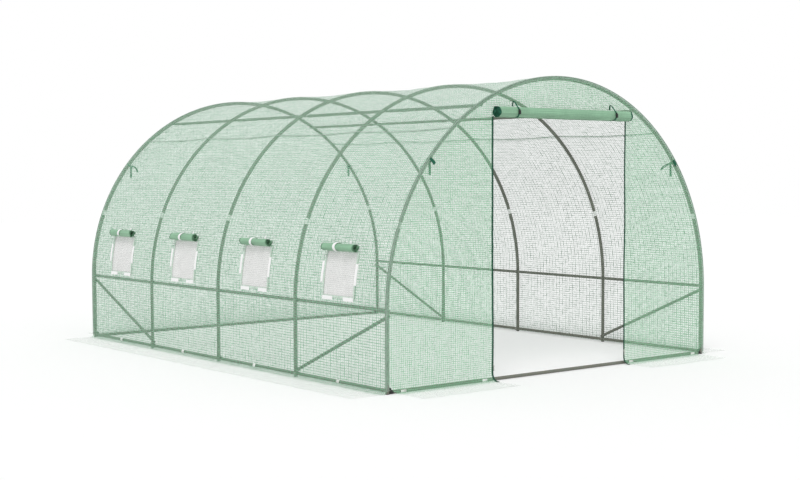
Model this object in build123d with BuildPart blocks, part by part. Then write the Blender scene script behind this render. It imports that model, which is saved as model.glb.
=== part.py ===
"""Polytunnel greenhouse, 4 m long, 3 m wide and 2 m high.

Five round steel hoops stand in a row along Y, tied together by two purlins, two mid rails and a
base rail all round, and stiffened by a diagonal brace in each corner bay. A woven cover wraps
them, with a roll-up door in the end at -Y and four roll-up windows in the side at -X. Its skirt
lies on the ground and is weighted or buried to hold the tunnel down.

Millimetres. The ground is Z = 0, and the tunnel is centred on the Z axis.
"""
import math
import os

from build123d import *

os.makedirs("parts", exist_ok=True)

# ---- Overall sizes ----
frame_width = 3000.0        # outside of the hoops
frame_height = 2000.0       # ground to the crown of the hoops
frame_length = 4000.0       # outside of the two end hoops
bay_count = 4

# ---- Fits ----
seat_gap = 0.3              # left between pieces that rest on each other
fit_clearance = 0.15        # all round a tube that slides into another

# ---- Hoop tubes ----
hoop_diameter = 25.0
hoop_wall = 1.0
leg_joint_angle = 21.1      # up the arch from its springing line, in degrees
crown_joint_angle = 60.0
spigot_length = 60.0
spigot_wall = 1.0
swage_length = 8.0          # full tube necking down to the spigot

# ---- Foot caps, joint sleeves and corner fittings ----
cap_thickness = 3.0
cap_plug_length = 20.0
sleeve_length = 40.0
sleeve_wall = 0.6
sleeve_clearance = 0.1
corner_sleeve_length = 34.0
corner_sleeve_wall = 1.35
gusset_thickness = 6.0
gusset_height = 42.0

# ---- Rails and braces ----
rail_diameter = 22.0
rail_wall = 1.0
tongue_thickness = 2.0      # the flattened tube end
tongue_width = 22.0
tongue_reach = 16.0         # bolt centre to where the tube starts to open out
taper_length = 29.0
purlin_angle = 61.0
mid_rail_angle = 0.55       # just above the springing line
side_rail_height = 22.0     # axis of the base rails along the sides
brace_foot_height = 46.0
brace_head_drop = 20.0      # below the springing line

# ---- Cover ----
cover_thickness = 2.0
roof_strip_width = 2135.0   # measured round the arch
door_width = 1250.0
door_header_drop = 288.0    # crown down to the top of the doorway
window_width = 328.0
window_height = 283.0       # measured round the arch
window_sill_rise = 73.0     # above the arch's springing line
screen_thickness = 0.7
screen_margin = 15.0
skirt_width = 270.0
skirt_thickness = 2.0

# ---- Rolls, ties and trim ----
door_roll_radius = 36.0
door_roll_overhang = 10.0
door_roll_lift = 2.0
door_roll_standoff = 1.5
door_tie_offset = 460.0     # each side of the middle
window_roll_radius = 27.5
window_roll_length = 350.0
window_roll_standoff = 1.2
strap_thickness = 0.9
strap_clearance = 0.1
window_strap_width = 26.0
door_strap_width = 12.0
door_strap_rise = 62.0      # roll axis up to where the strap is sewn on
toggle_width = 18.0
toggle_height = 24.0
toggle_thickness = 6.0
zip_width = 15.0
zip_thickness = 1.0
zip_end_drop = 10.0         # short of the doorway's top
tie_angle = 39.0
tie_width = 20.0
tie_knot_size = 8.0
tie_tail_length = 110.0
tie_tail_width = 14.0
tie_tail_thickness = 1.0
clip_width = 30.0
clip_height = 24.0
clip_thickness = 6.0
clip_lift = 3.0
end_clip_places = (700.0, 1375.0)

# ---- Worked out from the sizes above ----
hoop_radius = hoop_diameter / 2
hoop_bore = hoop_radius - hoop_wall
spigot_radius = hoop_bore - fit_clearance
spigot_bore = spigot_radius - spigot_wall
arch_radius = frame_width / 2 - hoop_radius
leg_height = frame_height - frame_width / 2
bay_length = (frame_length - hoop_diameter) / bay_count
hoop_places = [bay_length * (i - bay_count / 2) for i in range(bay_count + 1)]
bay_middles = [bay_length * (i + 0.5 - bay_count / 2) for i in range(bay_count)]
end_hoop_places = (hoop_places[0], hoop_places[-1])

rail_radius = rail_diameter / 2
lap_shift = (tongue_thickness + seat_gap) / 2
rail_axis_radius = arch_radius - hoop_radius - seat_gap - tongue_thickness - seat_gap / 2
rail_axis_drop = arch_radius - rail_axis_radius

trim_radius = hoop_radius + sleeve_clearance + sleeve_wall
cover_inner = arch_radius + trim_radius + seat_gap
cover_outer = cover_inner + cover_thickness
corner_bore = rail_radius + fit_clearance
corner_sleeve_radius = corner_bore + corner_sleeve_wall
end_inner = frame_length / 2 - hoop_radius + max(trim_radius, corner_sleeve_radius) + seat_gap
end_outer = end_inner + cover_thickness
end_panel_radius = cover_inner - seat_gap
seam_angle = 90 - math.degrees(roof_strip_width / 2 / cover_outer)
seam_half_gap = math.degrees(seat_gap / 2 / cover_outer)

door_half = door_width / 2
door_top = frame_height - door_header_drop
door_roll_height = door_top + door_roll_radius + door_roll_lift
door_roll_place = end_outer + door_roll_standoff + door_roll_radius
window_sill_angle = math.degrees(window_sill_rise / cover_outer)
window_top_angle = math.degrees((window_sill_rise + window_height) / cover_outer)
window_roll_angle = window_top_angle + math.degrees(window_roll_radius / cover_outer)
window_roll_axis = cover_outer + window_roll_standoff + window_roll_radius


# ---- Helpers ----
def arch_point(angle, radius, y=0.0):
    """A point at this angle up the arch from its left springing, at this radius."""
    a = math.radians(angle)
    return (-radius * math.cos(a), y, leg_height + radius * math.sin(a))


def arch_plane(angle, radius):
    """Here X runs along the tunnel, Y up round the arch, and Z outward."""
    a = math.radians(angle)
    return Plane(origin=arch_point(angle, radius), x_dir=(0, -1, 0),
                 z_dir=(-math.cos(a), 0, math.sin(a)))


def arc_degrees(length):
    return math.degrees(length / arch_radius)


def bent_tube(start_angle, end_angle, outer, inner):
    """A tube that follows the arch between two angles, at Y = 0."""
    a = math.radians(start_angle)
    section = Plane(origin=arch_point(start_angle, arch_radius), x_dir=(0, 1, 0),
                    z_dir=(math.sin(a), 0, math.cos(a)))
    with BuildPart() as tube:
        with BuildSketch(section):
            Circle(outer)
            Circle(inner, mode=Mode.SUBTRACT)
        revolve(axis=Axis((0, 0, leg_height), (0, 1, 0)),
                revolution_arc=end_angle - start_angle)
    return tube.part


def swaged_tube(start_angle, joint_angle):
    """A hoop tube that necks down to a spigot, which goes into the next tube."""
    neck_angle = joint_angle - arc_degrees(swage_length)
    spigot_angle = joint_angle + arc_degrees(spigot_length)
    with BuildPart() as tube:
        add(bent_tube(start_angle, neck_angle, hoop_radius, hoop_bore))
        add(bent_tube(neck_angle, joint_angle, hoop_radius, spigot_bore))
        add(bent_tube(joint_angle, spigot_angle, spigot_radius, spigot_bore))
    return tube.part


def rail(length, start_shift, end_shift):
    """A tube along +X from bolt to bolt, its flattened ends moved toward +Z by the shifts."""
    taper_end = tongue_reach + taper_length
    with BuildPart() as tube:
        with BuildSketch(Plane.YZ.offset(taper_end)):
            Circle(rail_radius)
            Circle(rail_radius - rail_wall, mode=Mode.SUBTRACT)
        extrude(amount=length - 2 * taper_end)
        for bolt, inward, shift in ((0, 1, start_shift), (length, -1, end_shift)):
            with BuildSketch(Plane.YZ.offset(bolt + inward * tongue_reach)):
                with Locations((0, shift)):
                    Rectangle(tongue_width, tongue_thickness)
            with BuildSketch(Plane.YZ.offset(bolt + inward * taper_end)):
                Circle(rail_radius)
            loft()
            with BuildSketch(Plane.XY.offset(shift - tongue_thickness / 2)):
                with Locations((bolt, 0)):
                    Circle(tongue_width / 2)
                with Locations((bolt + inward * tongue_reach / 2, 0)):
                    Rectangle(tongue_reach, tongue_width)
            extrude(amount=tongue_thickness)
    return tube.part


def rail_between(start, end, outward, start_shift, end_shift):
    """The same rail, from one point to another, its flats facing outward."""
    along = Vector(end) - Vector(start)
    place = Plane(origin=start, x_dir=along, z_dir=outward)
    return rail(along.length, start_shift, end_shift).moved(place.location)


def lap_shifts(bay):
    """Neighbouring bays take turns: outer laps touch the hoop, and inner laps lie on them."""
    if bay % 2 == 0:
        return lap_shift, lap_shift
    if bay == bay_count - 1:
        return -lap_shift, lap_shift
    return -lap_shift, -lap_shift


def long_rail(angle):
    """Four rails end to end, bolted under the hoops at this angle."""
    outward = (-math.cos(math.radians(angle)), 0, math.sin(math.radians(angle)))
    with BuildPart() as run:
        for bay in range(bay_count):
            start = arch_point(angle, rail_axis_radius, hoop_places[bay])
            end = arch_point(angle, rail_axis_radius, hoop_places[bay + 1])
            add(rail_between(start, end, outward, *lap_shifts(bay)))
    return run.part


def shell_strip(start_angle, end_angle, inner, outer, y_from, y_to):
    """A curved sheet over the arch between two angles and two places along the tunnel."""
    with BuildPart() as strip:
        with BuildSketch(Plane.XZ.offset(-y_to)):
            with BuildLine():
                low = CenterArc((0, leg_height), inner, 180 - start_angle, start_angle - end_angle)
                high = CenterArc((0, leg_height), outer, 180 - start_angle, start_angle - end_angle)
                Line(low @ 0, high @ 0)
                Line(low @ 1, high @ 1)
            make_face()
        extrude(amount=y_to - y_from)
    return strip.part


def side_cover():
    """The cover's wall on the left, from the ground to the roof seam."""
    with BuildPart() as wall:
        add(shell_strip(0, seam_angle - seam_half_gap, cover_inner, cover_outer,
                        -end_outer, end_outer))
        with BuildSketch():
            with Locations((-(cover_inner + cover_outer) / 2, 0)):
                Rectangle(cover_thickness, 2 * end_outer)
        extrude(amount=leg_height)
    return wall.part


def end_outline(x_from, x_to, z_from):
    """Sketches the part of the end wall between two X places and above a height."""
    with Locations((0, leg_height)):
        Circle(end_panel_radius)
    with Locations((0, leg_height / 2)):
        Rectangle(2 * end_panel_radius, leg_height)
    with Locations(((x_from + x_to) / 2, (z_from + frame_height) / 2 + 50)):
        Rectangle(x_to - x_from, frame_height - z_from + 100, mode=Mode.INTERSECT)


def end_panel(x_from, x_to, z_from, y_inner):
    """A flat panel of the end wall; y_inner is its face against the hoop."""
    with BuildPart() as panel:
        with BuildSketch(Plane.XZ.offset(-y_inner)):
            end_outline(x_from, x_to, z_from)
        extrude(amount=math.copysign(cover_thickness, -y_inner))
    return panel.part


def ground_strip(x_from, x_to, y_from, y_to):
    """A strip of skirt lying on the ground."""
    with BuildPart() as strip:
        with BuildSketch():
            with Locations(((x_from + x_to) / 2, (y_from + y_to) / 2)):
                Rectangle(x_to - x_from, y_to - y_from)
        extrude(amount=skirt_thickness)
    return strip.part


def save(part, name):
    part.label = name
    export_step(part, f"parts/{name}.step")


# ---- Hoops, numbered from the door end: five tubes each, all made alike ----
with BuildPart() as hoop_legs:
    with BuildSketch(Plane.XY.offset(cap_thickness)):
        with Locations((-arch_radius, 0)):
            Circle(hoop_radius)
            Circle(hoop_bore, mode=Mode.SUBTRACT)
    extrude(amount=leg_height - cap_thickness)
    add(swaged_tube(0, leg_joint_angle))
    mirror(about=Plane.YZ)

with BuildPart() as hoop_shoulders:
    add(swaged_tube(leg_joint_angle + arc_degrees(seat_gap), crown_joint_angle))
    mirror(about=Plane.YZ)

with BuildPart() as hoop_crown:
    crown_start = crown_joint_angle + arc_degrees(seat_gap)
    add(bent_tube(crown_start, 180 - crown_start, hoop_radius, hoop_bore))

for number, hoop_y in enumerate(hoop_places, start=1):
    place = Plane(origin=(0, hoop_y, 0)).location
    save(hoop_legs.part.moved(place), f"hoop_{number}_legs")
    save(hoop_shoulders.part.moved(place), f"hoop_{number}_shoulders")
    save(hoop_crown.part.moved(place), f"hoop_{number}_crown")

# ---- White sleeves over the leg joints ----
half_sleeve = arc_degrees(sleeve_length / 2)
sleeve = bent_tube(leg_joint_angle - half_sleeve, leg_joint_angle + half_sleeve,
                   trim_radius, hoop_radius + sleeve_clearance)
with BuildPart() as joint_sleeves:
    for hoop_y in hoop_places:
        add(sleeve.moved(Plane(origin=(0, hoop_y, 0)).location))
    mirror(about=Plane.YZ)
save(joint_sleeves.part, "joint_sleeves")

# ---- Caps that plug the feet ----
with BuildPart() as foot_caps:
    feet = [(side * arch_radius, hoop_y) for side in (-1, 1) for hoop_y in hoop_places]
    with BuildSketch():
        with Locations(*feet):
            Circle(hoop_radius)
    extrude(amount=cap_thickness - seat_gap)
    with BuildSketch(Plane.XY):
        with Locations(*feet):
            Circle(hoop_bore - fit_clearance)
    extrude(amount=cap_thickness + cap_plug_length)
save(foot_caps.part, "foot_caps")

# ---- Purlins and mid rails ----
save(long_rail(purlin_angle), "purlin_left")
save(long_rail(180 - purlin_angle), "purlin_right")
save(long_rail(mid_rail_angle), "mid_rail_left")
save(long_rail(180 - mid_rail_angle), "mid_rail_right")

# ---- Base rails along the sides: in line with the legs, their flats stepped inward ----
for side, side_name in ((-1, "left"), (1, "right")):
    with BuildPart() as side_rail:
        for bay in range(bay_count):
            start_shift, end_shift = lap_shifts(bay)
            start = (side * arch_radius, hoop_places[bay], side_rail_height)
            end = (side * arch_radius, hoop_places[bay + 1], side_rail_height)
            add(rail_between(start, end, (side, 0, 0),
                             start_shift - rail_axis_drop, end_shift - rail_axis_drop))
    save(side_rail.part, f"base_rail_{side_name}")

# ---- Base rails across the ends, which lie on the ground between the corner fittings ----
leg_inside = arch_radius - hoop_radius
gusset_side = leg_inside - seat_gap - tongue_thickness - seat_gap
end_rail_half = gusset_side     # clear of the side rails' flats
for end_y, end_name in ((hoop_places[0], "front"), (hoop_places[-1], "back")):
    with BuildPart() as end_rail:
        with BuildSketch(Plane.YZ.offset(-end_rail_half)):
            with Locations((end_y, corner_sleeve_radius)):
                Circle(rail_radius)
                Circle(rail_radius - rail_wall, mode=Mode.SUBTRACT)
        extrude(amount=2 * end_rail_half)
    save(end_rail.part, f"base_rail_{end_name}")

# ---- Black corner fittings: a socket for the end rail, notched round the side rail's flat,
# ---- and a gusset up the leg ----
with BuildPart() as corner_fittings:
    socket_end = leg_inside - corner_sleeve_length + 5
    for end_y in end_hoop_places:
        with BuildSketch(Plane.YZ.offset(-leg_inside - 5)):
            with Locations((end_y, corner_sleeve_radius)):
                Circle(corner_sleeve_radius)
        extrude(amount=corner_sleeve_length)
        with BuildSketch(Plane.XZ.offset(-end_y)):
            with BuildLine():
                Polyline((-gusset_side, corner_sleeve_radius), (-gusset_side, gusset_height),
                         (-gusset_side + 8, gusset_height), (-socket_end - 2, corner_sleeve_radius),
                         close=True)
            make_face()
        extrude(amount=gusset_thickness / 2, both=True)
        with BuildSketch(Plane.YZ.offset(-leg_inside - 5)):
            with Locations((end_y, corner_sleeve_radius)):
                Circle(corner_bore)
        extrude(amount=corner_sleeve_length, mode=Mode.SUBTRACT)
        with BuildSketch():
            with Locations((-arch_radius, end_y)):
                Circle(hoop_radius + seat_gap)
        extrude(amount=gusset_height, mode=Mode.SUBTRACT)
        with BuildSketch(Plane.XY.offset(side_rail_height - tongue_width / 2 - seat_gap)):
            with Locations(((-leg_inside - 6 - gusset_side) / 2, end_y)):
                Rectangle(leg_inside + 6 - gusset_side, 2 * corner_sleeve_radius + 10)
        extrude(amount=tongue_width + 2 * seat_gap, mode=Mode.SUBTRACT)
    mirror(about=Plane.YZ)
save(corner_fittings.part, "corner_fittings")

# ---- Diagonal braces, from high on each end leg to low on the leg beside it ----
brace_head_height = leg_height - brace_head_drop
for end_name, head_y, foot_y in (("front", hoop_places[0], hoop_places[1]),
                                 ("back", hoop_places[-1], hoop_places[-2])):
    with BuildPart() as braces:
        for side in (-1, 1):
            head = (side * rail_axis_radius, head_y, brace_head_height)
            foot = (side * rail_axis_radius, foot_y, brace_foot_height)
            add(rail_between(foot, head, (side, 0, 0), lap_shift, lap_shift))
    save(braces.part, f"braces_{end_name}")

# ---- Cover over the sides and the roof ----
with BuildPart() as cover_left_wall:
    add(side_cover())
    for middle in bay_middles:
        add(shell_strip(window_sill_angle, window_top_angle, cover_inner - 5, cover_outer + 5,
                        middle - window_width / 2, middle + window_width / 2),
            mode=Mode.SUBTRACT)
save(cover_left_wall.part, "cover_left_wall")

with BuildPart() as cover_right_wall:
    mirror(side_cover(), about=Plane.YZ)
save(cover_right_wall.part, "cover_right_wall")

save(shell_strip(seam_angle + seam_half_gap, 180 - seam_angle - seam_half_gap,
                 cover_inner, cover_outer, -end_outer, end_outer), "cover_roof")

# ---- End walls: two panels and a header round the doorway, and a plain back ----
wide = end_panel_radius + 10
save(end_panel(-wide, -door_half, 0, -end_inner), "cover_front_left")
save(end_panel(door_half, wide, 0, -end_inner), "cover_front_right")
save(end_panel(-door_half + seat_gap, door_half - seat_gap, door_top, -end_inner),
     "cover_front_header")
save(end_panel(-wide, wide, 0, end_inner), "cover_back")

# ---- Skirt strips on the ground, open at the corners and at the doorway ----
side_start = cover_outer + seat_gap
end_start = end_outer + seat_gap
save(ground_strip(-side_start - skirt_width, -side_start, -end_outer, end_outer), "skirt_left")
save(ground_strip(side_start, side_start + skirt_width, -end_outer, end_outer), "skirt_right")
save(ground_strip(-cover_outer, cover_outer, end_start, end_start + skirt_width), "skirt_back")
with BuildPart() as skirt_front:
    add(ground_strip(-cover_outer, -door_half, -end_start - skirt_width, -end_start))
    mirror(about=Plane.YZ)
save(skirt_front.part, "skirt_front")

# ---- Insect screens inside the windows ----
with BuildPart() as window_screens:
    margin_angle = math.degrees(screen_margin / cover_outer)
    screen_outer = cover_inner - seat_gap
    screen_half = window_width / 2 + screen_margin
    for middle in bay_middles:
        add(shell_strip(window_sill_angle - margin_angle, window_top_angle + margin_angle,
                        screen_outer - screen_thickness, screen_outer,
                        middle - screen_half, middle + screen_half))
save(window_screens.part, "window_screens")

# ---- Rolled-up window flaps and the band that holds each of them ----
roll_x, _, roll_z = arch_point(window_roll_angle, window_roll_axis)
strap_inner = window_roll_radius + strap_clearance
with BuildPart() as window_rolls:
    for middle in bay_middles:
        with BuildSketch(Plane.XZ.offset(-middle)):
            with Locations((roll_x, roll_z)):
                Circle(window_roll_radius)
        extrude(amount=window_roll_length / 2, both=True)
save(window_rolls.part, "window_rolls")

with BuildPart() as window_straps:
    for middle in bay_middles:
        with BuildSketch(Plane.XZ.offset(-middle)):
            with Locations((roll_x, roll_z)):
                Circle(strap_inner + strap_thickness)
                Circle(strap_inner, mode=Mode.SUBTRACT)
        extrude(amount=window_strap_width / 2, both=True)
save(window_straps.part, "window_roll_straps")

# ---- Rolled-up door, with two straps and their toggles ----
with BuildPart() as door_roll:
    with BuildSketch(Plane.YZ):
        with Locations((-door_roll_place, door_roll_height)):
            Circle(door_roll_radius)
    extrude(amount=door_half + door_roll_overhang, both=True)
save(door_roll.part, "door_roll")

door_strap_inner = door_roll_radius + strap_clearance
door_strap_outer = door_strap_inner + strap_thickness
with BuildPart() as door_straps:
    with BuildSketch(Plane.YZ.offset(door_tie_offset)):
        with Locations((-door_roll_place, door_roll_height)):
            Circle(door_strap_outer)
        with Locations((-door_roll_place + door_strap_outer - strap_thickness / 2,
                        door_roll_height + door_strap_rise / 2)):
            Rectangle(strap_thickness, door_strap_rise)
        with Locations((-door_roll_place, door_roll_height)):
            Circle(door_strap_inner, mode=Mode.SUBTRACT)
    extrude(amount=door_strap_width / 2, both=True)
    mirror(about=Plane.YZ)
save(door_straps.part, "door_straps")

with BuildPart() as door_toggles:
    toggle_back = -door_roll_place - door_strap_outer - seat_gap
    with BuildSketch(Plane.XZ.offset(-toggle_back)):
        with Locations((-door_tie_offset, door_roll_height), (door_tie_offset, door_roll_height)):
            RectangleRounded(toggle_width, toggle_height, 3)
    extrude(amount=toggle_thickness)
save(door_toggles.part, "door_toggles")

# ---- Zip tapes down both sides of the doorway ----
with BuildPart() as door_zips:
    zip_top = door_top - zip_end_drop
    zip_middle = door_half + zip_width / 2
    zip_base = skirt_thickness + seat_gap
    with BuildSketch(Plane.XZ.offset(end_outer + seat_gap)):
        with Locations((-zip_middle, (zip_top + zip_base) / 2), (zip_middle, (zip_top + zip_base) / 2)):
            Rectangle(zip_width, zip_top - zip_base)
    extrude(amount=zip_thickness)
save(door_zips.part, "door_zips")

# ---- Ribbons tied round the end hoops: a band, a knot and a hanging tail ----
with BuildPart() as ribbon:
    band_half = arc_degrees(tie_width / 2)
    add(bent_tube(tie_angle - band_half, tie_angle + band_half,
                  trim_radius, hoop_radius + sleeve_clearance))
    knot_base = arch_radius - trim_radius + sleeve_wall / 2 - tie_knot_size
    with BuildSketch(arch_plane(tie_angle, knot_base)):
        Rectangle(tie_knot_size, tie_knot_size)
    extrude(amount=tie_knot_size)
    tail_x, _, tail_z = arch_point(tie_angle, knot_base + tie_knot_size / 2)
    with BuildSketch(Plane.XZ):
        with Locations((tail_x, tail_z - tie_tail_length / 2)):
            Rectangle(tie_tail_thickness, tie_tail_length)
    extrude(amount=tie_tail_width / 2, both=True)
with BuildPart() as hoop_ties:
    for end_y in end_hoop_places:
        add(ribbon.part.moved(Plane(origin=(0, end_y, 0)).location))
    mirror(about=Plane.YZ)
save(hoop_ties.part, "hoop_ties")

# ---- Clips that pin the cover to the base rails ----
with BuildPart() as cover_clips:
    clip_middle = clip_lift + clip_height / 2
    for side in (-1, 1):
        with BuildSketch(Plane.YZ.offset(side * (cover_outer + seat_gap))):
            with Locations(*[(middle, clip_middle) for middle in bay_middles]):
                RectangleRounded(clip_width, clip_height, 4)
        extrude(amount=side * clip_thickness)
        with BuildSketch(Plane.XZ.offset(side * (end_outer + seat_gap))):
            with Locations(*[(sign * x, clip_middle) for x in end_clip_places for sign in (-1, 1)]):
                RectangleRounded(clip_width, clip_height, 4)
        extrude(amount=side * clip_thickness)
save(cover_clips.part, "cover_clips")
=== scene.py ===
# %% [markdown]
# # A polytunnel greenhouse
# Five steel hoops carry a woven cover with a roll-up door and four roll-up windows. The steel
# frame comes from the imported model, already in place. This lesson makes what steel isn't: the
# cover, its seams, screens, rolls, zips, ribbons and clips, and the bolts that tie it together.
# Everything is in metres. X runs across the tunnel, Y along it from the door, and Z up.

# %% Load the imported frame
import math

import bmesh
import bpy
import numpy as np
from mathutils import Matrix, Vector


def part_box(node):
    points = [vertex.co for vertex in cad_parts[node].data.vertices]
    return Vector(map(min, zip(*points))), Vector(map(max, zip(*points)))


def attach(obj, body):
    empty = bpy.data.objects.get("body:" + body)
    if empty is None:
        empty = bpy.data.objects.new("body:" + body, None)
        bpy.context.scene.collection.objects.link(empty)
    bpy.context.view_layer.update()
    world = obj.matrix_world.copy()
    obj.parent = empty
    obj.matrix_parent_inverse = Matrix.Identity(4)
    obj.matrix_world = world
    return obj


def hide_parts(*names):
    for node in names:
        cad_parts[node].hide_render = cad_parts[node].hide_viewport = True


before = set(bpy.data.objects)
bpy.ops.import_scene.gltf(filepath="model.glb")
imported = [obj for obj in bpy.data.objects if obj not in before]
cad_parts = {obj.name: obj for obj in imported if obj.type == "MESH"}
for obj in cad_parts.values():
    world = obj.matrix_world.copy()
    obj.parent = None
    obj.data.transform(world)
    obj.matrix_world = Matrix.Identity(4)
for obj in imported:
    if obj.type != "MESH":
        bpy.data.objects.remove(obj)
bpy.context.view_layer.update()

# %% [markdown]
# ## Sizes read from the frame
# The sizes could be typed in a second time, but then the cloth would miss the steel if the steel
# ever changed. So the arch's radius, the height where it springs from the legs and the places of
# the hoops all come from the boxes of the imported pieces.

# %% Sizes of the frame and the cover
COVER_HALF = 0.001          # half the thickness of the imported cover
hoop_numbers = range(1, 6)
hoop_legs = [f"hoop_{number}_legs" for number in hoop_numbers]
hoop_crowns = [f"hoop_{number}_crown" for number in hoop_numbers]


def box_middle(name):
    return np.mean(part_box(name), axis=0)


legs_low, legs_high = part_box(hoop_legs[0])
hoop_top = round(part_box(hoop_crowns[0])[1].z, 3)
arch_outer = round(legs_high.x, 3)
spring_height = round(hoop_top - arch_outer, 3)
hoop_radius = (legs_high.y - legs_low.y) / 2
arch_radius = arch_outer - hoop_radius
hoop_places = [float(box_middle(name)[1]) for name in hoop_legs]
bay_length = hoop_places[1] - hoop_places[0]
bay_middles = [place + bay_length / 2 for place in hoop_places[:-1]]
bays_long = bay_middles[-1] - bay_middles[0]

wall_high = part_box("cover_right_wall")[1]
cloth_radius = wall_high.x - COVER_HALF
cloth_end = wall_high.y - COVER_HALF
seam_angle = math.asin((wall_high.z - spring_height) / wall_high.x)
header_low, header_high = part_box("cover_front_header")
door_half, door_top = header_high.x, header_low.z
skirt_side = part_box("skirt_right")[1].x
skirt_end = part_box("skirt_back")[1].y
print("arch radius", arch_radius, "springs at", spring_height, "hoops at", hoop_places)

# %% [markdown]
# ## Helpers for nodes
# A material can be wired by hand in the shader editor, but a script keeps every value in sight.
# Every node tree here is built with one function, which adds a node and fills its settings and its
# inputs. The rest are short forms of what comes up most: sums, blends, noise, bump, and node
# groups with named inputs and outputs for the effects that several materials share.


# %% Node helpers
def plug(tree, value, socket):
    """Puts a number or another node's output into a socket. None leaves it as it is."""
    if isinstance(value, bpy.types.NodeSocket):
        tree.links.new(value, socket)
    elif value is not None:
        socket.default_value = value


def feed(tree, made, **values):
    """Fills a node. Names with a capital are inputs, with _ for a space; others are settings."""
    for name, value in values.items():
        if name[0].isupper():
            plug(tree, value, made.inputs[name.replace("_", " ")])
        else:
            setattr(made, name, value)
    return made.outputs


def node(tree, kind, **values):
    """Adds a node, fills it and gives back its outputs."""
    return feed(tree, tree.nodes.new(kind), **values)


def sums(tree, operation, *values, kind="ShaderNodeMath"):
    """A Math node. Its result is a socket that can go into the next one."""
    made = tree.nodes.new(kind)
    made.operation = operation
    for value, socket in zip(values, made.inputs):
        plug(tree, value, socket)
    return made.outputs[0]


def times(tree, first, second):
    return sums(tree, "MULTIPLY", first, second)


def remap(tree, value, low, high, new_low, new_high, kind="LINEAR"):
    made = tree.nodes.new("ShaderNodeMapRange")
    made.interpolation_type = kind
    for item, socket in zip((value, low, high, new_low, new_high), made.inputs):
        plug(tree, item, socket)
    return made.outputs["Result"]


# %% Helpers for colours and materials
def weakened(tree, value, share):
    """A value with a share of it taken away."""
    return times(tree, value, sums(tree, "SUBTRACT", 1.0, share))


def blend(tree, factor, first, second, kind="MIX"):
    """A Mix node set to colour, whose colour inputs are the seventh and the eighth."""
    made = tree.nodes.new("ShaderNodeMix")
    made.data_type, made.blend_type = "RGBA", kind
    for place, value in ((0, factor), (6, first), (7, second)):
        plug(tree, value, made.inputs[place])
    return made.outputs[2]


def tint(tree, colour, value):
    """A colour made lighter or darker by a number."""
    grey = node(tree, "ShaderNodeCombineColor", Red=value, Green=value, Blue=value)
    return blend(tree, 1.0, colour, grey[0], "MULTIPLY")


def noise(tree, place, scale, detail, output="Fac"):
    return node(tree, "ShaderNodeTexNoise", Vector=place, Scale=scale, Detail=detail)[output]


def roughen(tree, shader, height, strength, distance):
    """Bump for a shader."""
    bump = node(tree, "ShaderNodeBump", Height=height, Strength=strength, Distance=distance)
    feed(tree, shader, Normal=bump["Normal"])


def node_group(name, inputs, outputs, kind="ShaderNodeTree"):
    """An empty group. Each socket's value is its default number, or the kind of socket it is."""
    tree = bpy.data.node_groups.new(name, kind)
    for side, sockets in (("INPUT", inputs), ("OUTPUT", outputs)):
        for label, value in sockets.items():
            socket = "NodeSocket" + (value if isinstance(value, str) else "Float")
            made = tree.interface.new_socket(label, in_out=side, socket_type=socket)
            if not isinstance(value, str):
                made.default_value = value
    print("group", name, "with", list(inputs))
    return tree, tree.nodes.new("NodeGroupInput").outputs, tree.nodes.new("NodeGroupOutput")


def use_group(tree, group, **values):
    return node(tree, "ShaderNodeGroup", node_tree=group, **values)


def seen_directly(tree):
    """1 for rays from the camera, a gloss or a clear surface, and 0 for the rest."""
    rays = node(tree, "ShaderNodeLightPath")
    seen = sums(tree, "MAXIMUM", rays["Is Camera Ray"], rays["Is Glossy Ray"])
    return sums(tree, "MAXIMUM", seen, rays["Is Transmission Ray"])


def srgb(red, green, blue):
    """A colour from the 0 to 255 values of a paint chart."""
    linear = []
    for value in (red, green, blue):
        v = value / 255
        linear.append(v / 12.92 if v <= 0.04045 else ((v + 0.055) / 1.055) ** 2.4)
    return (*linear, 1.0)


def new_material(name, specular, **values):
    made = bpy.data.materials.new(name)
    made.use_nodes = True
    shader = made.node_tree.nodes["Principled BSDF"]
    feed(made.node_tree, shader, Specular_IOR_Level=specular, **values)
    print("material", name)
    return made, made.node_tree, shader


# %% [markdown]
# ## Camera, floor and light
# The camera stands outside the front left corner at chest height and looks down a little, so the
# door, the windows and the whole length of the tunnel are in view. The floor is pale and plain.
# Several small lamps could light the tunnel, but each would draw its own hard shadow of every
# thread. So the world is a soft white tent with one large lamp in it: the camera sees the tent at
# full white, and it lights the object at a lower level so that colours come out as they are
# written.

# %% Camera
camera_data = bpy.data.cameras.new("camera")
camera_data.sensor_width = 36
camera_data.lens = 61.66
camera_data.shift_x, camera_data.shift_y = -0.0211, 0.0240
camera_data.clip_end = 200
camera = bpy.data.objects.new("camera", camera_data)
camera.location = (-6.608, -8.569, 1.340)
camera.rotation_euler = [math.radians(turn) for turn in (86.506, 0.166, -39.159)]
scene = bpy.context.scene
scene.collection.objects.link(camera)
scene.camera = camera
print("camera at", camera.location[:], "with a lens of", camera_data.lens, "mm")

# %% Light: a white tent and one large soft lamp
TENT_LIGHT = 0.66
LAMP_LIGHT = 1.25
scene.view_settings.view_transform = "Standard"
world = bpy.data.worlds.new("white tent")
scene.world = world
world.use_nodes = True
tree = world.node_tree
tree.nodes.clear()
tent = node(tree, "ShaderNodeBackground", Color=(1, 1, 1, 1),
            Strength=remap(tree, seen_directly(tree), 0.0, 1.0, TENT_LIGHT, 1.0))
node(tree, "ShaderNodeOutputWorld", Surface=tent["Background"])

lamp_data = bpy.data.lights.new("soft key", "SUN")
lamp_data.energy = LAMP_LIGHT
lamp_data.angle = math.radians(25)
lamp = bpy.data.objects.new("soft key", lamp_data)
lamp.rotation_euler = [math.radians(turn) for turn in (38, -14, -30)]
scene.collection.objects.link(lamp)

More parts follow.
